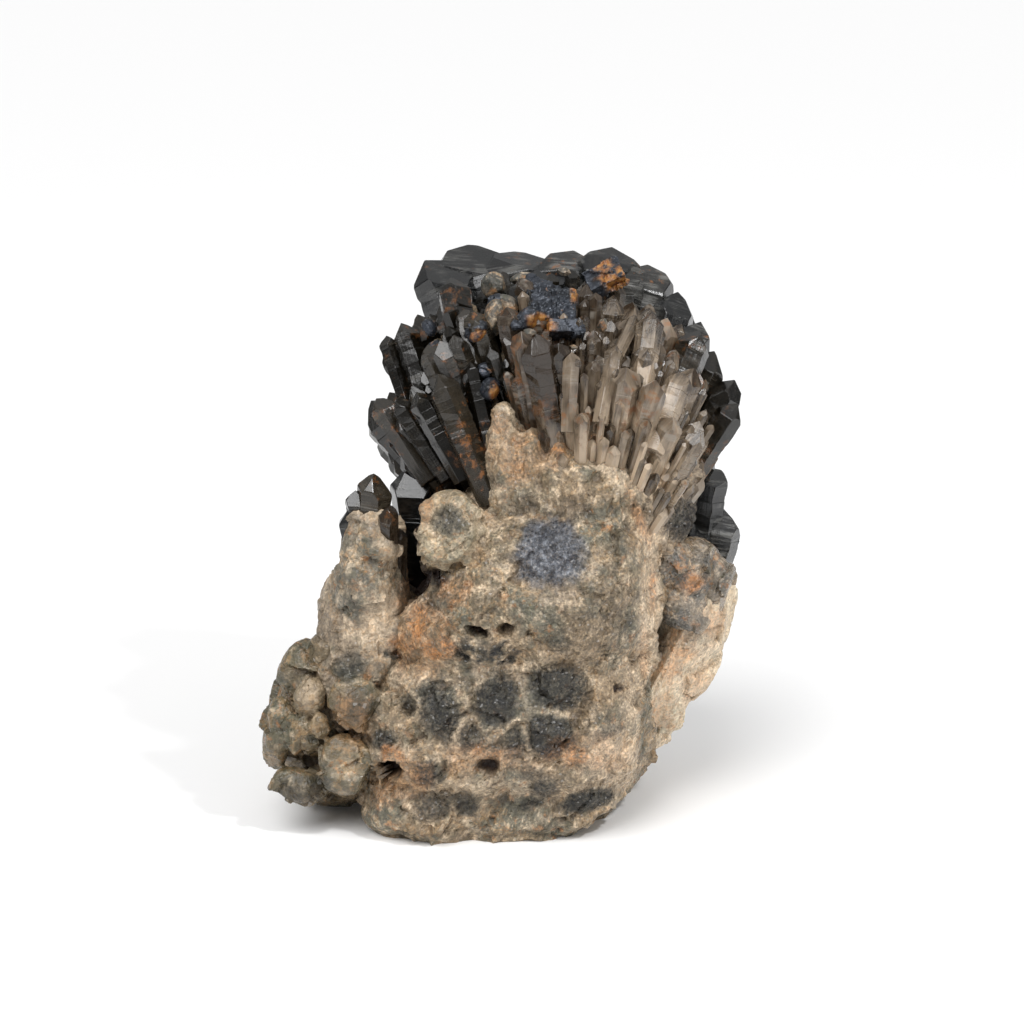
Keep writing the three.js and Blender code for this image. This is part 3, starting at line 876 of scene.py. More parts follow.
# %% [markdown]
# ## Marks on the front
# The broken front shows old crystals cut across: dark hearts with cream rims. There are also rust,
# pale ridges and caves, which are dented and darkened with painted shade, as are the creases. The
# marks are laid out on a plane that faces the camera's side, so many millimetres right and up of its
# middle, and a line from the eye carries each to the rock. Only points near the place where the line
# lands are marked, so nothing smears down the sides.

# %% The marks
# Right, up, half width, half height and strength, or depth for a cave. Then the turn in degrees of a
# mark that is turned.
SPOTS = [(9.75, -10.25, 9.2, 9.2, 1.1), (20, -24, 13, 13, 0.25), (-15.9, -2, 4.2, 3.8, 0.8),
         (-39, -21, 4.4, 6.4, 0.22, 10), (-6, -50, 20, 12, 0.22), (3, -59, 10, 4.5, 0.4),
         (10, -66, 20, 8, 0.2), (44, -2, 7, 6, 1.0), (33, 0, 3, 5, 0.4),
         (-3.8, -47.3, 5.6, 7.6, 1.1, -24), (-17.9, -50.2, 5.4, 9.8, 0.95, 28),
         (11.4, -44.1, 7.8, 6.4, 1.05), (9.4, -55.7, 6.4, 5.8, 1.2), (1, -57.6, 3.2, 4, 0.9),
         (-25.5, -48.2, 3, 2.8, 0.75), (-32.2, -57.2, 3.8, 2.8, 0.95), (-11.2, -56.4, 4, 4.6, 0.8),
         (-20.7, -65.5, 4.6, 3.6, 0.85), (-20, -73.7, 5.8, 4.2, 0.75, 10), (-11.5, -73.2, 3.5, 3.2, 0.8),
         (8, -69, 4, 2.8, 0.85), (4.7, -72.7, 3.5, 1.8, 0.85, 20), (19, -72, 7.2, 2.9, 1.1, 15),
         (4.7, -65.5, 3.6, 2, 0.6), (24, -55.2, 4, 1.6, 0.75, 25), (-18.5, -16.5, 2.8, 2.2, 1.0),
         (-20.5, -22, 4.5, 4, 0.5), (24, -29, 8, 7, 0.35), (12, -33, 3, 2.5, 0.6), (24, -22, 3, 4, 0.35),
         (3, 2, 4, 3, 0.35, 30), (16, 1, 5, 3, 0.3, -30), (-4, 8, 2.4, 2, 0.4), (27, -8, 3.4, 5, 0.3),
         (-41, -38.5, 4.4, 3.6, 0.75), (-38, -48.5, 5, 5, 0.4), (-52, -69.5, 8, 4, 0.6),
         (-47, -30, 3, 6, 0.3, 20), (36.5, -30, 2.4, 7, 0.5), (46, -31, 4, 5, 0.3, -20),
         (52, -45, 3, 5, 0.25, -20)]
SPECKLES = [(-10, -35.7, 4.8, 3, 1), (-2.3, -35.5, 4.4, 3.4, 1), (-28.5, -34.7, 4.4, 2.4, 1),
            (20, -52, 5, 5, 0.5), (27, -27, 6, 3, 0.6), (-14, -33, 8, 2, 0.6)]
# Caves are dented by their depth and darkened with painted shade.
CAVES = [(-8.7, -30, 3.6, 1.3, 4, -15), (-1.5, -29.5, 2.6, 1.7, 4, 10), (-31, -65, 4.2, 2.4, 4.5),
         (-6, -64, 3.2, 2.6, 3.5), (27.2, -44.2, 1.8, 1.0, 1.2), (-25.8, -9, 2.6, 15, 4, -6),
         (-19.5, -15, 1.6, 2.6, 2), (-24.5, -17, 3.8, 6.5, 3.2, -20)]
RUST = [(-23.5, -27.5, 3.4, 5.4, 1), (-19, -34, 5, 3.6, 0.95), (-26.5, -32.5, 5, 3, 0.7),
        (-26, -20, 3, 6, 0.6, -30), (15.7, -61.2, 3.8, 2.6, 0.8), (-30.2, -60.7, 4, 2.6, 0.9),
        (45, -17.7, 4, 2.8, 0.8), (35.2, -19.5, 0.9, 7, 0.7), (-14, -20, 5, 4, 0.45),
        (-6, -60, 5, 3, 0.6), (24, -62, 5, 3, 0.4), (1, 12, 4, 6, 0.5), (-32, -70, 4, 4, 0.5),
        (-22, 2, 2.5, 6, 0.6), (32, -2, 1.4, 9, 0.5, 20), (14, 24, 7, 2.6, 0.8, -20),
        (22, 21, 6, 2, 0.5, -10), (10, 17, 5, 2.6, 0.8, -15), (-3, 22, 3, 4, 0.5),
        (33, -36, 1.4, 8, 0.35), (-40, -52, 6, 8, 0.3), (-23, -31, 10, 12, 0.35), (19, -60, 12, 5, 0.3),
        (-28, -66, 9, 6, 0.4), (-7, -62, 14, 4, 0.3), (6, 16, 14, 6, 0.25), (41, -35, 5, 10, 0.55, -25),
        (50, -27, 6, 4, 0.5), (37, -50, 4, 6, 0.5, -30), (54, -36, 2.5, 8, 0.45),
        (46, -44, 5, 5, 0.4, -30), (7.4, 47, 4, 2.6, 1.2, -15), (-0.6, 49.2, 2.6, 2.2, 1.2),
        (12, 57.5, 3.4, 2.4, 1), (15.6, 54.5, 1.2, 2.4, 1), (-4.4, 30, 1.4, 2.4, 1.2),
        (-18, 39.5, 2, 2.4, 1.1), (-8, 44, 2.6, 2, 1), (26, 58, 4.4, 4, 1.1), (22, 62, 3, 2.4, 1)]
CREAM = [(34.4, -24, 3.4, 17, 1, -3), (35, -8, 3.2, 8, 0.9, 10), (-31, -24, 3, 5.5, 1),
         (-51, -46, 3.6, 5.6, 0.5), (-41.5, -64, 5, 4, 0.2), (30, 8, 4, 8, 0.6, 20),
         (-1, 20, 5, 10, 0.45), (-24.5, -20, 2.6, 11, 0.8, -4), (36, 6, 2.5, 8, 0.8, 15),
         (-27, -42, 6, 3, 0.6), (25, -63, 8, 11, 1, 10), (-30, -60, 8, 3, 0.6), (46, -34, 9, 13, 0.6),
         (-30, -4, 4, 12, 0.7), (0, 4, 10, 5, 0.3), (-8, 3, 5, 9, 0.5), (-34, -28, 4.5, 8, 0.9, -10),
         (-36, 2, 5, 6, 0.7), (30, -46, 3.4, 10, 0.6), (-2, -69, 22, 3, 0.5), (22, 12, 7, 2.4, 0.9, -35),
         (-49, -44, 3, 4, 0.3), (-29, -24, 4, 4, 0.8), (-8, -41, 2, 7, 0.7, 10)]


# %% Lay the marks on the rock
FAR = 9.0
# Marks stronger than this are the old crystals, which get a cream rim where they meet.
STRONG = 0.6
CREASE_ROUNDS = 8


def in_view(points):
    """Right, up and depth of points on the plane that faces the eye."""
    away = points - np.array(EYE)
    depth = away @ np.array(FORWARD)
    return away @ np.array(RIGHT) * DISTANCE / depth, away @ np.array(UP) * DISTANCE / depth, depth


def meeting(view, tree, marks, uneven):
    """Marks that meet a mass: the strength, and each point's distance in half widths and certainty."""
    for right, up, half_wide, half_tall, strength, *turned in marks:
        line = (AIM + RIGHT * right + UP * up - EYE).normalized()
        hit = tree.ray_cast(EYE, line)[0]
        if hit is None:
            continue
        turn = math.radians(turned[0] if turned else 0)
        dr, du = view[0] - right, view[1] - up
        a = (dr * math.cos(turn) + du * math.sin(turn)) / half_wide
        b = (du * math.cos(turn) - dr * math.sin(turn)) / half_tall
        depth = (hit - EYE).dot(FORWARD)
        reach = max(half_wide, half_tall)
        sure = fade(0.9 * reach + 3, 1.6 * reach + 6, np.abs(view[2] - depth))
        yield strength, np.hypot(a, b) * (1 + uneven), sure


def creases(bm, points, normals):
    """How far each point lies below its surroundings, from 0 to 1."""
    ends = np.array([(e.verts[0].index, e.verts[1].index) for e in bm.edges])
    count = np.bincount(ends.ravel(), minlength=len(points))[:, None]
    spread_out = points.copy()
    for _ in range(CREASE_ROUNDS):
        total = np.zeros_like(points)
        np.add.at(total, ends[:, 0], spread_out[ends[:, 1]])
        np.add.at(total, ends[:, 1], spread_out[ends[:, 0]])
        spread_out = total / count
    below = ((spread_out - points) * normals).sum(axis=1)
    return ease(0.12, 0.9, below)


def mark_rock(bm, name):
    """Dents and colours the points of one mass, and keeps the colours as an attribute."""
    tree = BVHTree.FromBMesh(bm)
    bm.normal_update()
    points = np.array([v.co for v in bm.verts])
    normals = np.array([v.normal for v in bm.verts])
    view = in_view(points)
    uneven = np.array([0.22 * noise.fractal(v.co / 3.2, 0.8, 2.0, 2) for v in bm.verts])
    fine = np.array([noise.noise(v.co / 2.1) for v in bm.verts])
    slow = np.array([noise.noise(v.co / 7) for v in bm.verts])
    smoke, rust, cream, push = np.zeros((4, len(points)))
    nearest, second = np.full((2, len(points)), FAR)
    for strength, away, sure in meeting(view, tree, SPOTS, uneven):
        if strength > STRONG:
            here = np.where(sure > 0.5, away, FAR)
            second = np.minimum(second, np.maximum(nearest, here))
            nearest = np.minimum(nearest, here)
        inside = 0.75 * fade(0.8, 1.2, away) + 0.25 * fade(0.3, 1.0, away)
        smoke = np.maximum(smoke, np.minimum(strength * inside * sure, 1))
        rim = ease(1.05, 1.2, away) * fade(1.2, 1.55, away)
        cream = np.maximum(cream, 0.6 * min(strength, 1) * rim * ease(-0.35, 0.25, slow) * sure)
        push += sure * (0.35 * fade(0.4, 0.95, away) - 0.4 * rim) * strength
    between = fade(0.1, 0.34, second - nearest) * fade(1.25, 1.5, nearest)
    smoke *= 1 - 0.6 * between
    cream = np.maximum(cream, 0.38 * between)
    push += 0.35 * between
    for strength, away, sure in meeting(view, tree, SPECKLES, uneven):
        smoke = np.maximum(smoke, strength * fade(0.7, 1.1, away) * sure * ease(-0.3, 0.15, fine))
    for strength, away, sure in meeting(view, tree, RUST, 1.5 * uneven):
        rust = np.maximum(rust, strength * fade(0.55, 1.15, away) * sure)
    for strength, away, sure in meeting(view, tree, CREAM, 1.5 * uneven):
        cream = np.maximum(cream, strength * fade(0.5, 1.2, away) * sure)
    # Painted shade: creases are darkened, less so on the dark spots, and caves are darkened fully.
    painted_shade_and_root_smoke = 0.45 * creases(bm, points, normals) * (1 - 0.7 * smoke)
    for depth, away, sure in meeting(view, tree, CAVES, 1.2 * uneven):
        deep = fade(0.55, 1.0, away) * sure
        painted_shade_and_root_smoke = np.maximum(painted_shade_and_root_smoke, deep)
        push -= depth * deep
    kept = bm.verts.layers.float_color.new("kept")
    for v, values, normal, outwards in zip(bm.verts, zip(smoke, rust, cream, painted_shade_and_root_smoke), normals, push):
        v[kept] = values
        v.co += Vector(normal) * outwards
    print(name, "is marked; dark share", round(float(smoke.mean()), 3))


for bm, name in ((body, "body"), (lobes, "lobes"), (column, "column"), (knob, "knob"), (wing, "wing"),
                 (wing_top, "wing top"), (crust, "crust"), (tips, "tips")):
    mark_rock(bm, name)


def brown_to_top(bm):
    """The fan's root is milky below, and smoky towards the tips."""
    mark_rock(bm, "root")
    kept = bm.verts.layers.float_color["kept"]
    for v, white in zip(bm.verts, milkiness(np.array([v.co for v in bm.verts]))):
        smoke, rust, cream, painted_shade_and_root_smoke = v[kept]
        # The smoky darkening goes into the channel that elsewhere holds painted shade for creases and caves.
        v[kept] = (smoke, rust, max(cream, 0.5 * float(white)), max(painted_shade_and_root_smoke, 0.75 * (1 - float(white))))


brown_to_top(root)

# %% [markdown]
# ## A flat base
# The specimen was sawn so that it stands. Every mass that reaches below the floor is cut level, and
# so are the crystals of the coat.

# %% Saw the base
for bm in (body, lobes, column, clear["shell"], clear["heart"]):
    cut_by(bm, Vector((0, 0, 0)), Vector((0, 0, -1)))

# %% [markdown]
# ## Finishes
# The clear crystals of the coat are real glass with a plain absorption: light that goes through
# more of it comes out darker and browner. Those of the front are full of veils and nearly opaque,
# so only part of the light goes through them, and their colour is painted by nodes. The hearts
# inside are opaque, milky at the root and smoky at the end. The rock is an opaque finish with a
# fine grain of tilted faces, a few painted glints, and painted shade in its creases and caves.

# %% A helper that adds nodes
def color(red, green, blue):
    return (red, green, blue, 1.0)


class Paint:
    """Adds nodes to one tree, and lays colours over its base colour. Values are sockets or plain."""

    def __init__(self, tree):
        self.tree = tree
        self.base = None

    def plug(self, socket, value):
        if isinstance(value, bpy.types.NodeSocket):
            self.tree.links.new(value, socket)
        else:
            socket.default_value = value

    def add(self, kind, *values, **settings):
        """A shader node. Values go to its inputs in order, and settings to inputs or properties."""
        node = self.tree.nodes.new("ShaderNode" + kind)
        for key, value in settings.items():
            if key in node.inputs:
                self.plug(node.inputs[key], value)
            else:
                setattr(node, key, value)
        for socket, value in zip(node.inputs, values):
            self.plug(socket, value)
        return node

    def math(self, operation, *values):
        return self.add("Math", *values, operation=operation).outputs[0]

    def times(self, first, second):
        return self.math("MULTIPLY", first, second)

    def plus(self, first, second):
        return self.math("ADD", first, second)

    def vector(self, operation, *values, **scale):
        return self.add("VectorMath", *values, operation=operation, **scale).outputs[0]

    def spread(self, value, low, high, to_low=0.0, to_high=1.0):
        """Maps a range of a socket's values to another, and clamps it."""
        return self.add("MapRange", value, low, high, to_low, to_high).outputs["Result"]

    def noise(self, coords, scale, detail, rough):
        node = self.add("TexNoise", Vector=coords, Scale=scale, Detail=detail, Roughness=rough)
        return node.outputs["Fac"]

    def mix(self, factor, first, second, blend="MIX"):
        node = self.add("Mix", data_type="RGBA", blend_type=blend)
        for place, value in ((0, factor), (6, first), (7, second)):
            self.plug(node.inputs[place], value)
        return node.outputs[2]

    def over(self, factor, above, blend="MIX"):
        """Lays a colour over the base colour, as far as the factor says."""
        self.base = self.mix(factor, self.base, above, blend)

    def shade(self, value, low, high, darkest, lightest):
        """Makes the base colour darker or lighter, by a range of a socket's values."""
        self.over(1.0, self.spread(value, low, high, darkest, lightest), "MULTIPLY")


# %% Materials and groups
def new_material(name):
    material = bpy.data.materials.new(name)
    material.use_nodes = True
    return material, Paint(material.node_tree), material.node_tree.nodes["Principled BSDF"].inputs


def new_group(name, inputs, outputs):
    """An empty node group with named sockets, and the sockets at its two ends."""
    group = bpy.data.node_groups.new(name, "ShaderNodeTree")
    for in_out, sockets in (("INPUT", inputs), ("OUTPUT", outputs)):
        for title, kind in sockets.items():
            group.interface.new_socket(title, in_out=in_out, socket_type="NodeSocket" + kind)
    ends = group.nodes.new("NodeGroupInput").outputs, group.nodes.new("NodeGroupOutput").inputs
    return group, Paint(group), *ends


def object_coords(paint):
    return paint.add("TexCoord").outputs["Object"]


def add_bump(paint, shader, height, strength, distance, **under):
    node = paint.add("Bump", Strength=strength, Distance=distance, Height=height, **under)
    paint.plug(shader["Normal"], node.outputs["Normal"])


# %% A shared effect: tiny tilted faces
def make_glitter():
    """A group that tips the surface a different way in each small cell."""
    wanted = {"Vector": "Vector", "Scale": "Float", "Tilt": "Float"}
    made = {"Normal": "Vector", "Random": "Float"}
    group, paint, given, put_out = new_group("tilted grains", wanted, made)
    cells = paint.add("TexVoronoi", Vector=given["Vector"], Scale=given["Scale"]).outputs["Color"]
    centred = paint.vector("SUBTRACT", cells, (0.5, 0.5, 0.5))
    tilted = paint.vector("SCALE", centred, Scale=given["Tilt"])
    normal = paint.add("NewGeometry").outputs["Normal"]
    unit = paint.vector("NORMALIZE", paint.vector("ADD", normal, tilted))
    paint.plug(put_out["Normal"], unit)
    paint.plug(put_out["Random"], paint.add("SeparateColor", cells).outputs[0])
    return group


GLITTER = make_glitter()


def tilted_grains(paint, coords, scale, tilt):
    node = paint.add("Group", node_tree=GLITTER, Vector=coords, Scale=scale, Tilt=tilt)
    return node.outputs["Normal"], node.outputs["Random"]


# %% A shared effect: fibres
# How often the noise changes in a metre along the fibres: seldom, so they are drawn out.
FIBRE_LENGTH = (90, 90, 90)


def make_radial():
    """A group that gives fine fibres running away from a centre."""
    wanted = {"Vector": "Vector", "Centre": "Vector", "Fineness": "Float"}
    group, paint, given, put_out = new_group("radial fibres", wanted, {"Fibre": "Float"})
    away = paint.vector("SUBTRACT", given["Vector"], given["Centre"])
    unit = paint.vector("NORMALIZE", away)
    finer = paint.vector("SCALE", unit, Scale=given["Fineness"])
    drawn_out = paint.vector("MULTIPLY_ADD", away, FIBRE_LENGTH, finer)
    paint.plug(put_out["Fibre"], paint.noise(drawn_out, 1.0, 3, 0.6))
    return group


RADIAL = make_radial()


def radial_fibres(paint, coords, centre, fineness):
    centre = (Vector(centre) + ORIGIN_SHIFT) * MM
    node = paint.add("Group", node_tree=RADIAL, Vector=coords, Centre=centre, Fineness=fineness)
    return node.outputs["Fibre"]


def kept_values(paint):
    """The four values that each point keeps."""
    kept = paint.add("Attribute", attribute_name="kept")
    parts = paint.add("SeparateColor", kept.outputs["Color"])
    return (*parts.outputs, kept.outputs["Alpha"])


# %% The rock
SMOKE_DARK, SMOKE_PALE = color(0.0065, 0.006, 0.005), color(0.062, 0.056, 0.042)
BLUE_SHADE, SMOKE_BLUE = color(0.016, 0.017, 0.023), color(0.15, 0.16, 0.18)
# The large round spot is bluer than the others, and this far across, in metres.
BLUE_SPOT, BLUE_INSIDE, BLUE_OUTSIDE = (BLUE_PLACE + ORIGIN_SHIFT) * MM, 0.009, 0.014
RUST_ORANGE = color(0.36, 0.15, 0.045)
OCHRE = color(0.36, 0.20, 0.075)
OLIVE = color(0.08, 0.077, 0.043)
CREAM_WHITE = color(0.52, 0.41, 0.29)
SHADE_AND_SMOKE_BROWN = color(0.022, 0.010, 0.006)
PAINTED_GLINT_WHITE = color(0.45, 0.45, 0.45)
FIBRE_FINENESS = 45


def make_rock(name, tan, grey, pale_share, grain_scale=2000, tilt=0.5, centre=FAN["centre"], fibrous=0.5,
              smooth=0.25, rough=0.8, streaks=0.0, flecked=0.6):
    """Opaque quartz, mottled tan and grey, with flecks, seams, fibres, its marks, painted glints and painted
    shade.
    """
    material, paint, shader = new_material(name)
    coords = object_coords(paint)
    slow = paint.noise(coords, 80, 4, 0.6)
    medium = paint.noise(coords, 240, 5, 0.62)
    fine = paint.noise(coords, 1500, 3, 0.6)
    fibre = radial_fibres(paint, coords, centre, FIBRE_FINENESS)
    normal, random = tilted_grains(paint, coords, grain_scale, tilt)
    smoke, rust, cream, painted_shade_and_root_smoke = kept_values(paint)
    tone = paint.mix(streaks, slow, fibre)
    paint.base = paint.mix(paint.spread(tone, 0.42, 0.60), tan, grey)
    streaked = paint.plus(medium, paint.spread(fibre, 0.3, 0.7, -0.1, 0.1))
    paint.over(paint.spread(streaked, 0.62 - 0.25 * pale_share, 0.78, 0, 0.75), CREAM_WHITE)
    flecks = paint.noise(coords, 430, 5, 0.68)
    paint.over(paint.spread(flecks, 0.32, 0.46, flecked, 0), OLIVE)
    paint.over(paint.spread(flecks, 0.54, 0.66, 0, flecked), CREAM_WHITE)
    paint.over(paint.times(cream, paint.spread(medium, 0.3, 0.55, 0.5, 1)), CREAM_WHITE)
    smoky = paint.times(smoke, paint.spread(fine, 0.35, 0.6, 1.2, 0.9))
    clouds = paint.spread(paint.noise(coords, 480, 5, 0.75), 0.42, 0.66)
    away = paint.add("VectorMath", coords, BLUE_SPOT, operation="DISTANCE").outputs["Value"]
    bluish = paint.spread(away, BLUE_INSIDE, BLUE_OUTSIDE, 1, 0)
    darker = paint.mix(bluish, SMOKE_DARK, BLUE_SHADE)
    lighter = paint.mix(bluish, SMOKE_PALE, SMOKE_BLUE)
    paint.over(smoky, paint.mix(clouds, darker, lighter))
    seams = paint.math("SUBTRACT", paint.noise(coords, 70, 5, 0.65), 0.5)
    seams = paint.spread(paint.math("ABSOLUTE", seams), 0.0, 0.025, 0.35, 0)
    seams = paint.times(seams, paint.spread(smoke, 0, 0.4, 1, 0))
    paint.over(seams, OCHRE)
    patch = paint.spread(paint.plus(medium, fine), 0.78, 1.15, 0.1, 0.9)
    paint.over(paint.times(rust, patch), RUST_ORANGE)
    stains = paint.spread(paint.noise(coords, 300, 5, 0.7), 0.56, 0.66, 0, 0.6)
    stains = paint.times(stains, paint.spread(slow, 0.44, 0.58))
    stains = paint.times(stains, paint.spread(smoke, 0, 0.6, 1, 0.1))
    paint.over(stains, RUST_ORANGE)
    for value, low, high, share in ((random, 0, 1, 0.24), (fine, 0.3, 0.7, 0.26), (medium, 0.3, 0.7, 0.28)):
        paint.shade(value, low, high, 1 - share, 1 + share)
    shaded = paint.mix(1.0, paint.base, paint.spread(fibre, 0.3, 0.7, 0.5, 1.5), "MULTIPLY")
    paint.over(fibrous, shaded)
    # Painted glints: a few white grains, more of them on the dark spots.
    glint_chance = paint.plus(random, paint.times(smoke, 0.012))
    paint.over(paint.spread(glint_chance, 0.985, 1.0, 0, 0.34), PAINTED_GLINT_WHITE)
    # Painted shade in creases and caves; on the fan's root this also darkens its smoky part.
    paint.over(painted_shade_and_root_smoke, SHADE_AND_SMOKE_BROWN)
    paint.plug(shader["Base Color"], paint.base)
    paint.plug(shader["Roughness"], paint.spread(random, 0.0, 1.0, smooth, rough))
    add_bump(paint, shader, paint.plus(fine, fibre), 0.6, 0.0005, Normal=normal)
    return material


# %% The finishes of the masses
body_finish = make_rock("massive quartz", color(0.235, 0.170, 0.103), color(0.135, 0.125, 0.09), 0.3,
                        fibrous=0.8)
lobe_finish = make_rock("greenish quartz", color(0.155, 0.112, 0.062), color(0.085, 0.078, 0.05), 0.14,
                        900, 0.15, fibrous=0.15, smooth=0.1, rough=0.5, flecked=0.3)
column_finish = make_rock("column quartz", color(0.27, 0.21, 0.148), color(0.13, 0.118, 0.088), 0.4,
                          centre=COLUMN_FIBRES, fibrous=0.35)
wing_finish = make_rock("fibrous quartz", color(0.80, 0.64, 0.46), color(0.42, 0.38, 0.285), 0.5,
                        tilt=0.2, centre=WING_FIBRES, fibrous=0.9, streaks=0.7, flecked=0.3)
root_finish = make_rock("fan root quartz", color(0.33, 0.26, 0.185), color(0.17, 0.135, 0.10), 0.5,
                        tilt=0.3, fibrous=1.0)
knob_finish = make_rock("knob quartz", color(0.34, 0.27, 0.18), color(0.22, 0.19, 0.13), 0.4, fibrous=0.2)
tip_finish = make_rock("frosted tips", color(0.115, 0.094, 0.072), color(0.06, 0.06, 0.052), 0.15, tilt=0.2,
                       fibrous=0.1)
block_finish = make_rock("glassy block", color(0.25, 0.20, 0.145), color(0.105, 0.098, 0.086), 0.25,
                         tilt=0.35, fibrous=0.1, smooth=0.05, rough=0.4)


# %% Iron crust
def make_crust_finish():
    """Dark iron crust: half metallic, blue-black to steel grey, with painted glints and rust that is not
    metallic.
    """
    material, paint, shader = new_material("iron crust")
    coords = object_coords(paint)
    medium, fine = paint.noise(coords, 260, 4, 0.6), paint.noise(coords, 1200, 3, 0.6)
    _, rusted, _, painted_shade_and_root_smoke = kept_values(paint)
    ochre = paint.noise(coords, 420, 5, 0.7)
    rust = paint.times(rusted, paint.spread(ochre, 0.39, 0.53, 0.0, 1))
    rust = paint.math("MAXIMUM", rust, paint.spread(ochre, 0.62, 0.70, 0, 0.7))
    rusty = paint.mix(paint.spread(fine, 0.4, 0.6), color(0.23, 0.08, 0.02), color(0.36, 0.17, 0.04))
    paint.base = paint.mix(paint.spread(medium, 0.35, 0.65), color(0.010, 0.0115, 0.014),
                           color(0.048, 0.055, 0.07))
    # Painted glints: small light steel-grey specks.
    paint.over(paint.spread(fine, 0.62, 0.70), color(0.17, 0.185, 0.21))
    paint.over(rust, rusty)
    # Painted shade in the crust's creases.
    paint.over(painted_shade_and_root_smoke, SHADE_AND_SMOKE_BROWN)
    paint.plug(shader["Base Color"], paint.base)
    paint.plug(shader["Metallic"], paint.spread(rust, 0.1, 0.4, 0.55, 0.0))
    paint.plug(shader["Roughness"], paint.spread(fine, 0.3, 0.7, 0.2, 0.6))
    add_bump(paint, shader, fine, 0.5, 0.0003)
    return material


crust_finish = make_crust_finish()

# %% Smoky crystals, clear ones and milky hearts
CRYSTAL_RUST = color(0.25, 0.098, 0.03)
QUARTZ_IOR = 1.544


def along_crystal(paint, across, along, detail=4.0, rough=0.6):
    """Noise on a crystal's own map; a small figure draws it out."""
    uv = paint.add("UVMap", uv_map="growth").outputs["UV"]
    stretched = paint.add("Mapping", Vector=uv, Scale=(across, along, 1)).outputs[0]
    return paint.noise(stretched, 1.0, detail, rough)


def make_crystal(name, smoky, milky, frost, frosted, transmission, rough, rust):
    """Quartz that is partly see-through, with veils, grooves, frost and specks of rust."""
    material, paint, shader = new_material(name)
    shader["Transmission Weight"].default_value = transmission
    shader["IOR"].default_value = QUARTZ_IOR
    milk, height, chance, _ = kept_values(paint)
    veils, threads = along_crystal(paint, 0.3, 0.12), along_crystal(paint, 1.6, 0.14)
    striae, bands = along_crystal(paint, 0.10, 1.3, 4, 0.7), along_crystal(paint, 0.05, 0.4, 3, 0.7)
    fine = paint.spread(threads, 0.3, 0.7, -0.18, 0.18)
    uneven = paint.plus(paint.spread(veils, 0.3, 0.7, -0.4, 0.4), fine)
    uneven = paint.times(uneven, paint.spread(milk, 0.0, 0.6, 0.4, 1.0))
    share = paint.times(milk, paint.spread(height, 0.5, 1.0, 1.0, 0.5))
    share = paint.plus(paint.plus(share, uneven), paint.spread(chance, 0, 1, -0.2, 0.3))
    paint.base = paint.mix(paint.spread(share, 0.1, 0.95), smoky, milky)
    coords = object_coords(paint)
    patches = paint.spread(paint.noise(coords, 120, 3, 0.6), 0.58 - 0.25 * frosted, 0.68 - 0.2 * frosted)
    lines = paint.math("MAXIMUM", paint.spread(striae, 0.5, 0.62, 0, 0.7), paint.spread(bands, 0.5, 0.6))
    dull = paint.times(patches, lines)
    paint.over(paint.times(dull, 0.8), frost)
    gathered = paint.spread(paint.noise(coords, 60, 2, 0.5), 0.38, 0.62, -0.2, 0.04)
    specks = paint.plus(paint.noise(coords, 420, 4, 0.7), gathered)
    paint.over(paint.spread(specks, 0.58 - rust, 0.70 - rust, 0, 0.7), CRYSTAL_RUST)
    paint.shade(chance, 0, 1, 0.6, 1.4)
    paint.plug(shader["Base Color"], paint.base)
    worn = paint.spread(paint.plus(dull, chance), 0, 2, 0.8 * rough, 2.2 * rough)
    paint.plug(shader["Roughness"], worn)
    add_bump(paint, shader, paint.plus(striae, threads), 0.4, 0.00015)
    return material


def make_clear(name, tint, density):
    """See-through smoky quartz: plain glass values, and a volume that swallows light."""
    material, paint, shader = new_material(name)
    shader["Transmission Weight"].default_value = 0.95
    shader["IOR"].default_value = QUARTZ_IOR
    shader["Base Color"].default_value = tint
    striae = along_crystal(paint, 0.10, 3.0, 4, 0.7)
    paint.plug(shader["Roughness"], paint.spread(striae, 0.4, 0.7, 0.03, 0.22))
    add_bump(paint, shader, striae, 0.25, 0.00015)
    absorb = paint.add("VolumeAbsorption", Color=color(0.56, 0.5, 0.43), Density=density)
    paint.plug(paint.tree.nodes["Material Output"].inputs["Volume"], absorb.outputs[0])
    return material


def make_heart(name, milky, smoky):
    """Opaque quartz inside a crystal."""
    material, paint, shader = new_material(name)
    threads = paint.spread(along_crystal(paint, 1.6, 0.22), 0.3, 0.7, -0.35, 0.35)
    share = paint.plus(kept_values(paint)[0], threads)
    paint.plug(shader["Base Color"], paint.mix(paint.spread(share, 0.15, 0.85), smoky, milky))
    shader["Roughness"].default_value = 0.6
    return material


dark_finish = make_crystal("dark smoky quartz", color(0.008, 0.0065, 0.0042), color(0.062, 0.047, 0.029),
                           color(0.068, 0.057, 0.041), 0.3, 0.4, 0.16, 0.02)
rim_finish = make_crystal("blue grey quartz", color(0.0047, 0.0055, 0.0062), color(0.062, 0.055, 0.044),
                          color(0.15, 0.148, 0.138), 0.52, 0.35, 0.15, 0.0)
pale_finish = make_crystal("milky smoky quartz", color(0.045, 0.029, 0.017), color(0.56, 0.44, 0.315),
                           color(0.34, 0.30, 0.25), 0.15, 0.4, 0.22, 0.055)
clear_finish = make_clear("clear smoky quartz", color(0.44, 0.435, 0.425), 340)
dark_heart = make_heart("dark heart", color(0.20, 0.165, 0.125), color(0.010, 0.009, 0.008))
pale_heart = make_heart("milky heart", color(0.66, 0.55, 0.43), color(0.035, 0.024, 0.016))
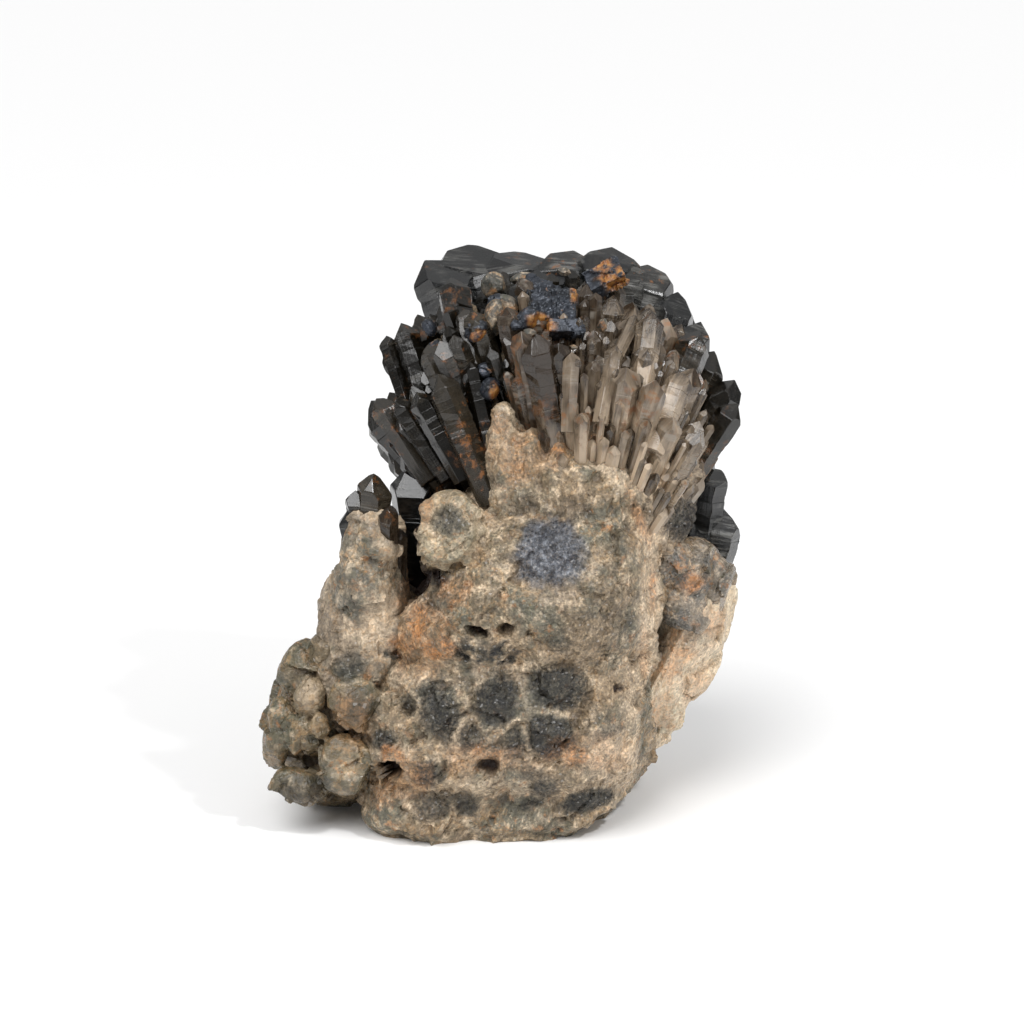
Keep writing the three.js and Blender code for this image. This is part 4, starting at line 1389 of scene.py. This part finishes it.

# %% [markdown]
# ## Hand the pieces over
# Every piece rides on the one body and gets its finish, and once the massive quartz is made it
# stands for the solid, which is hidden.

# %% Make the objects
pieces = [("massive_quartz", body, body_finish), ("left_lobes", lobes, lobe_finish),
          ("left_column", column, column_finish), ("knob", knob, knob_finish),
          ("wing_quartz", wing, wing_finish), ("wing_top", wing_top, block_finish),
          ("fan_root", root, root_finish), ("iron_crust", crust, crust_finish),
          ("frosted_tips", tips, tip_finish)]
families = [("rim", rim, rim_finish, dark_heart), ("dark", dark, dark_finish, dark_heart),
            ("clear", clear, clear_finish, dark_heart), ("pale", pale, pale_finish, pale_heart),
            ("slim", slim, pale_finish, pale_heart)]
for name, family, finish, heart in families:
    pieces += [(name + "_crystals", family["shell"], finish), (name + "_hearts", family["heart"], heart)]
for name, bm, finish in pieces:
    piece = new_piece(name, bm)
    piece.data.materials.append(finish)
    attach(piece, "root")
    if name == "massive_quartz":
        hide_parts("quartz_cluster")

# %% [markdown]
# ## Floor, light and surroundings
# A pale floor, a soft window's light from the upper left of the front, a small lamp that makes the
# facets sparkle, and a large faint one that fills the shadows from the right. The world is a dome
# that is bright above and dim near the floor, so dark facets stay dark and top facets shine.

# %% Studio
world = bpy.data.worlds.new("studio")
world.use_nodes = True
paint = Paint(world.node_tree)
height = paint.add("SeparateXYZ", paint.add("TexCoord").outputs["Generated"]).outputs["Z"]
glow = paint.spread(height, -0.05, 0.9, 0.08, 0.68)
camera_ray = paint.add("LightPath").outputs["Is Camera Ray"]
shown = paint.mix(camera_ray, glow, color(0.95, 0.95, 0.95))
paint.plug(paint.tree.nodes["Background"].inputs["Color"], shown)
bpy.context.scene.world = world
bpy.context.scene.view_settings.view_transform = "Standard"

bm = bmesh.new()
bmesh.ops.create_grid(bm, x_segments=1, y_segments=1, size=3)
floor = add_object("floor", bm)
floor_finish, _, floor_shader = new_material("pale floor")
floor_shader["Base Color"].default_value = color(0.88, 0.88, 0.88)
floor_shader["Roughness"].default_value = 0.9
floor.data.materials.append(floor_finish)


# %% Lights
def add_light(name, kind, place, target, power, **shape):
    data = bpy.data.lights.new(name, kind)
    data.energy = power
    for key, value in shape.items():
        setattr(data, key, value)
    light = bpy.data.objects.new(name, data)
    light.location = place
    light.rotation_euler = (Vector(target) - Vector(place)).to_track_quat("-Z", "Y").to_euler()
    bpy.context.scene.collection.objects.link(light)


add_light("window", "SUN", (-0.35, -0.6, 0.9), (0, 0, 0), 2.42, angle=math.radians(42))
add_light("sparkle", "AREA", (0.35, -0.35, 0.6), (0, 0, 0.07), 2.2, shape="DISK", size=0.06)
add_light("fill", "AREA", (0.75, -0.45, 0.12), (0, 0, 0.06), 1.3, shape="DISK", size=0.5)
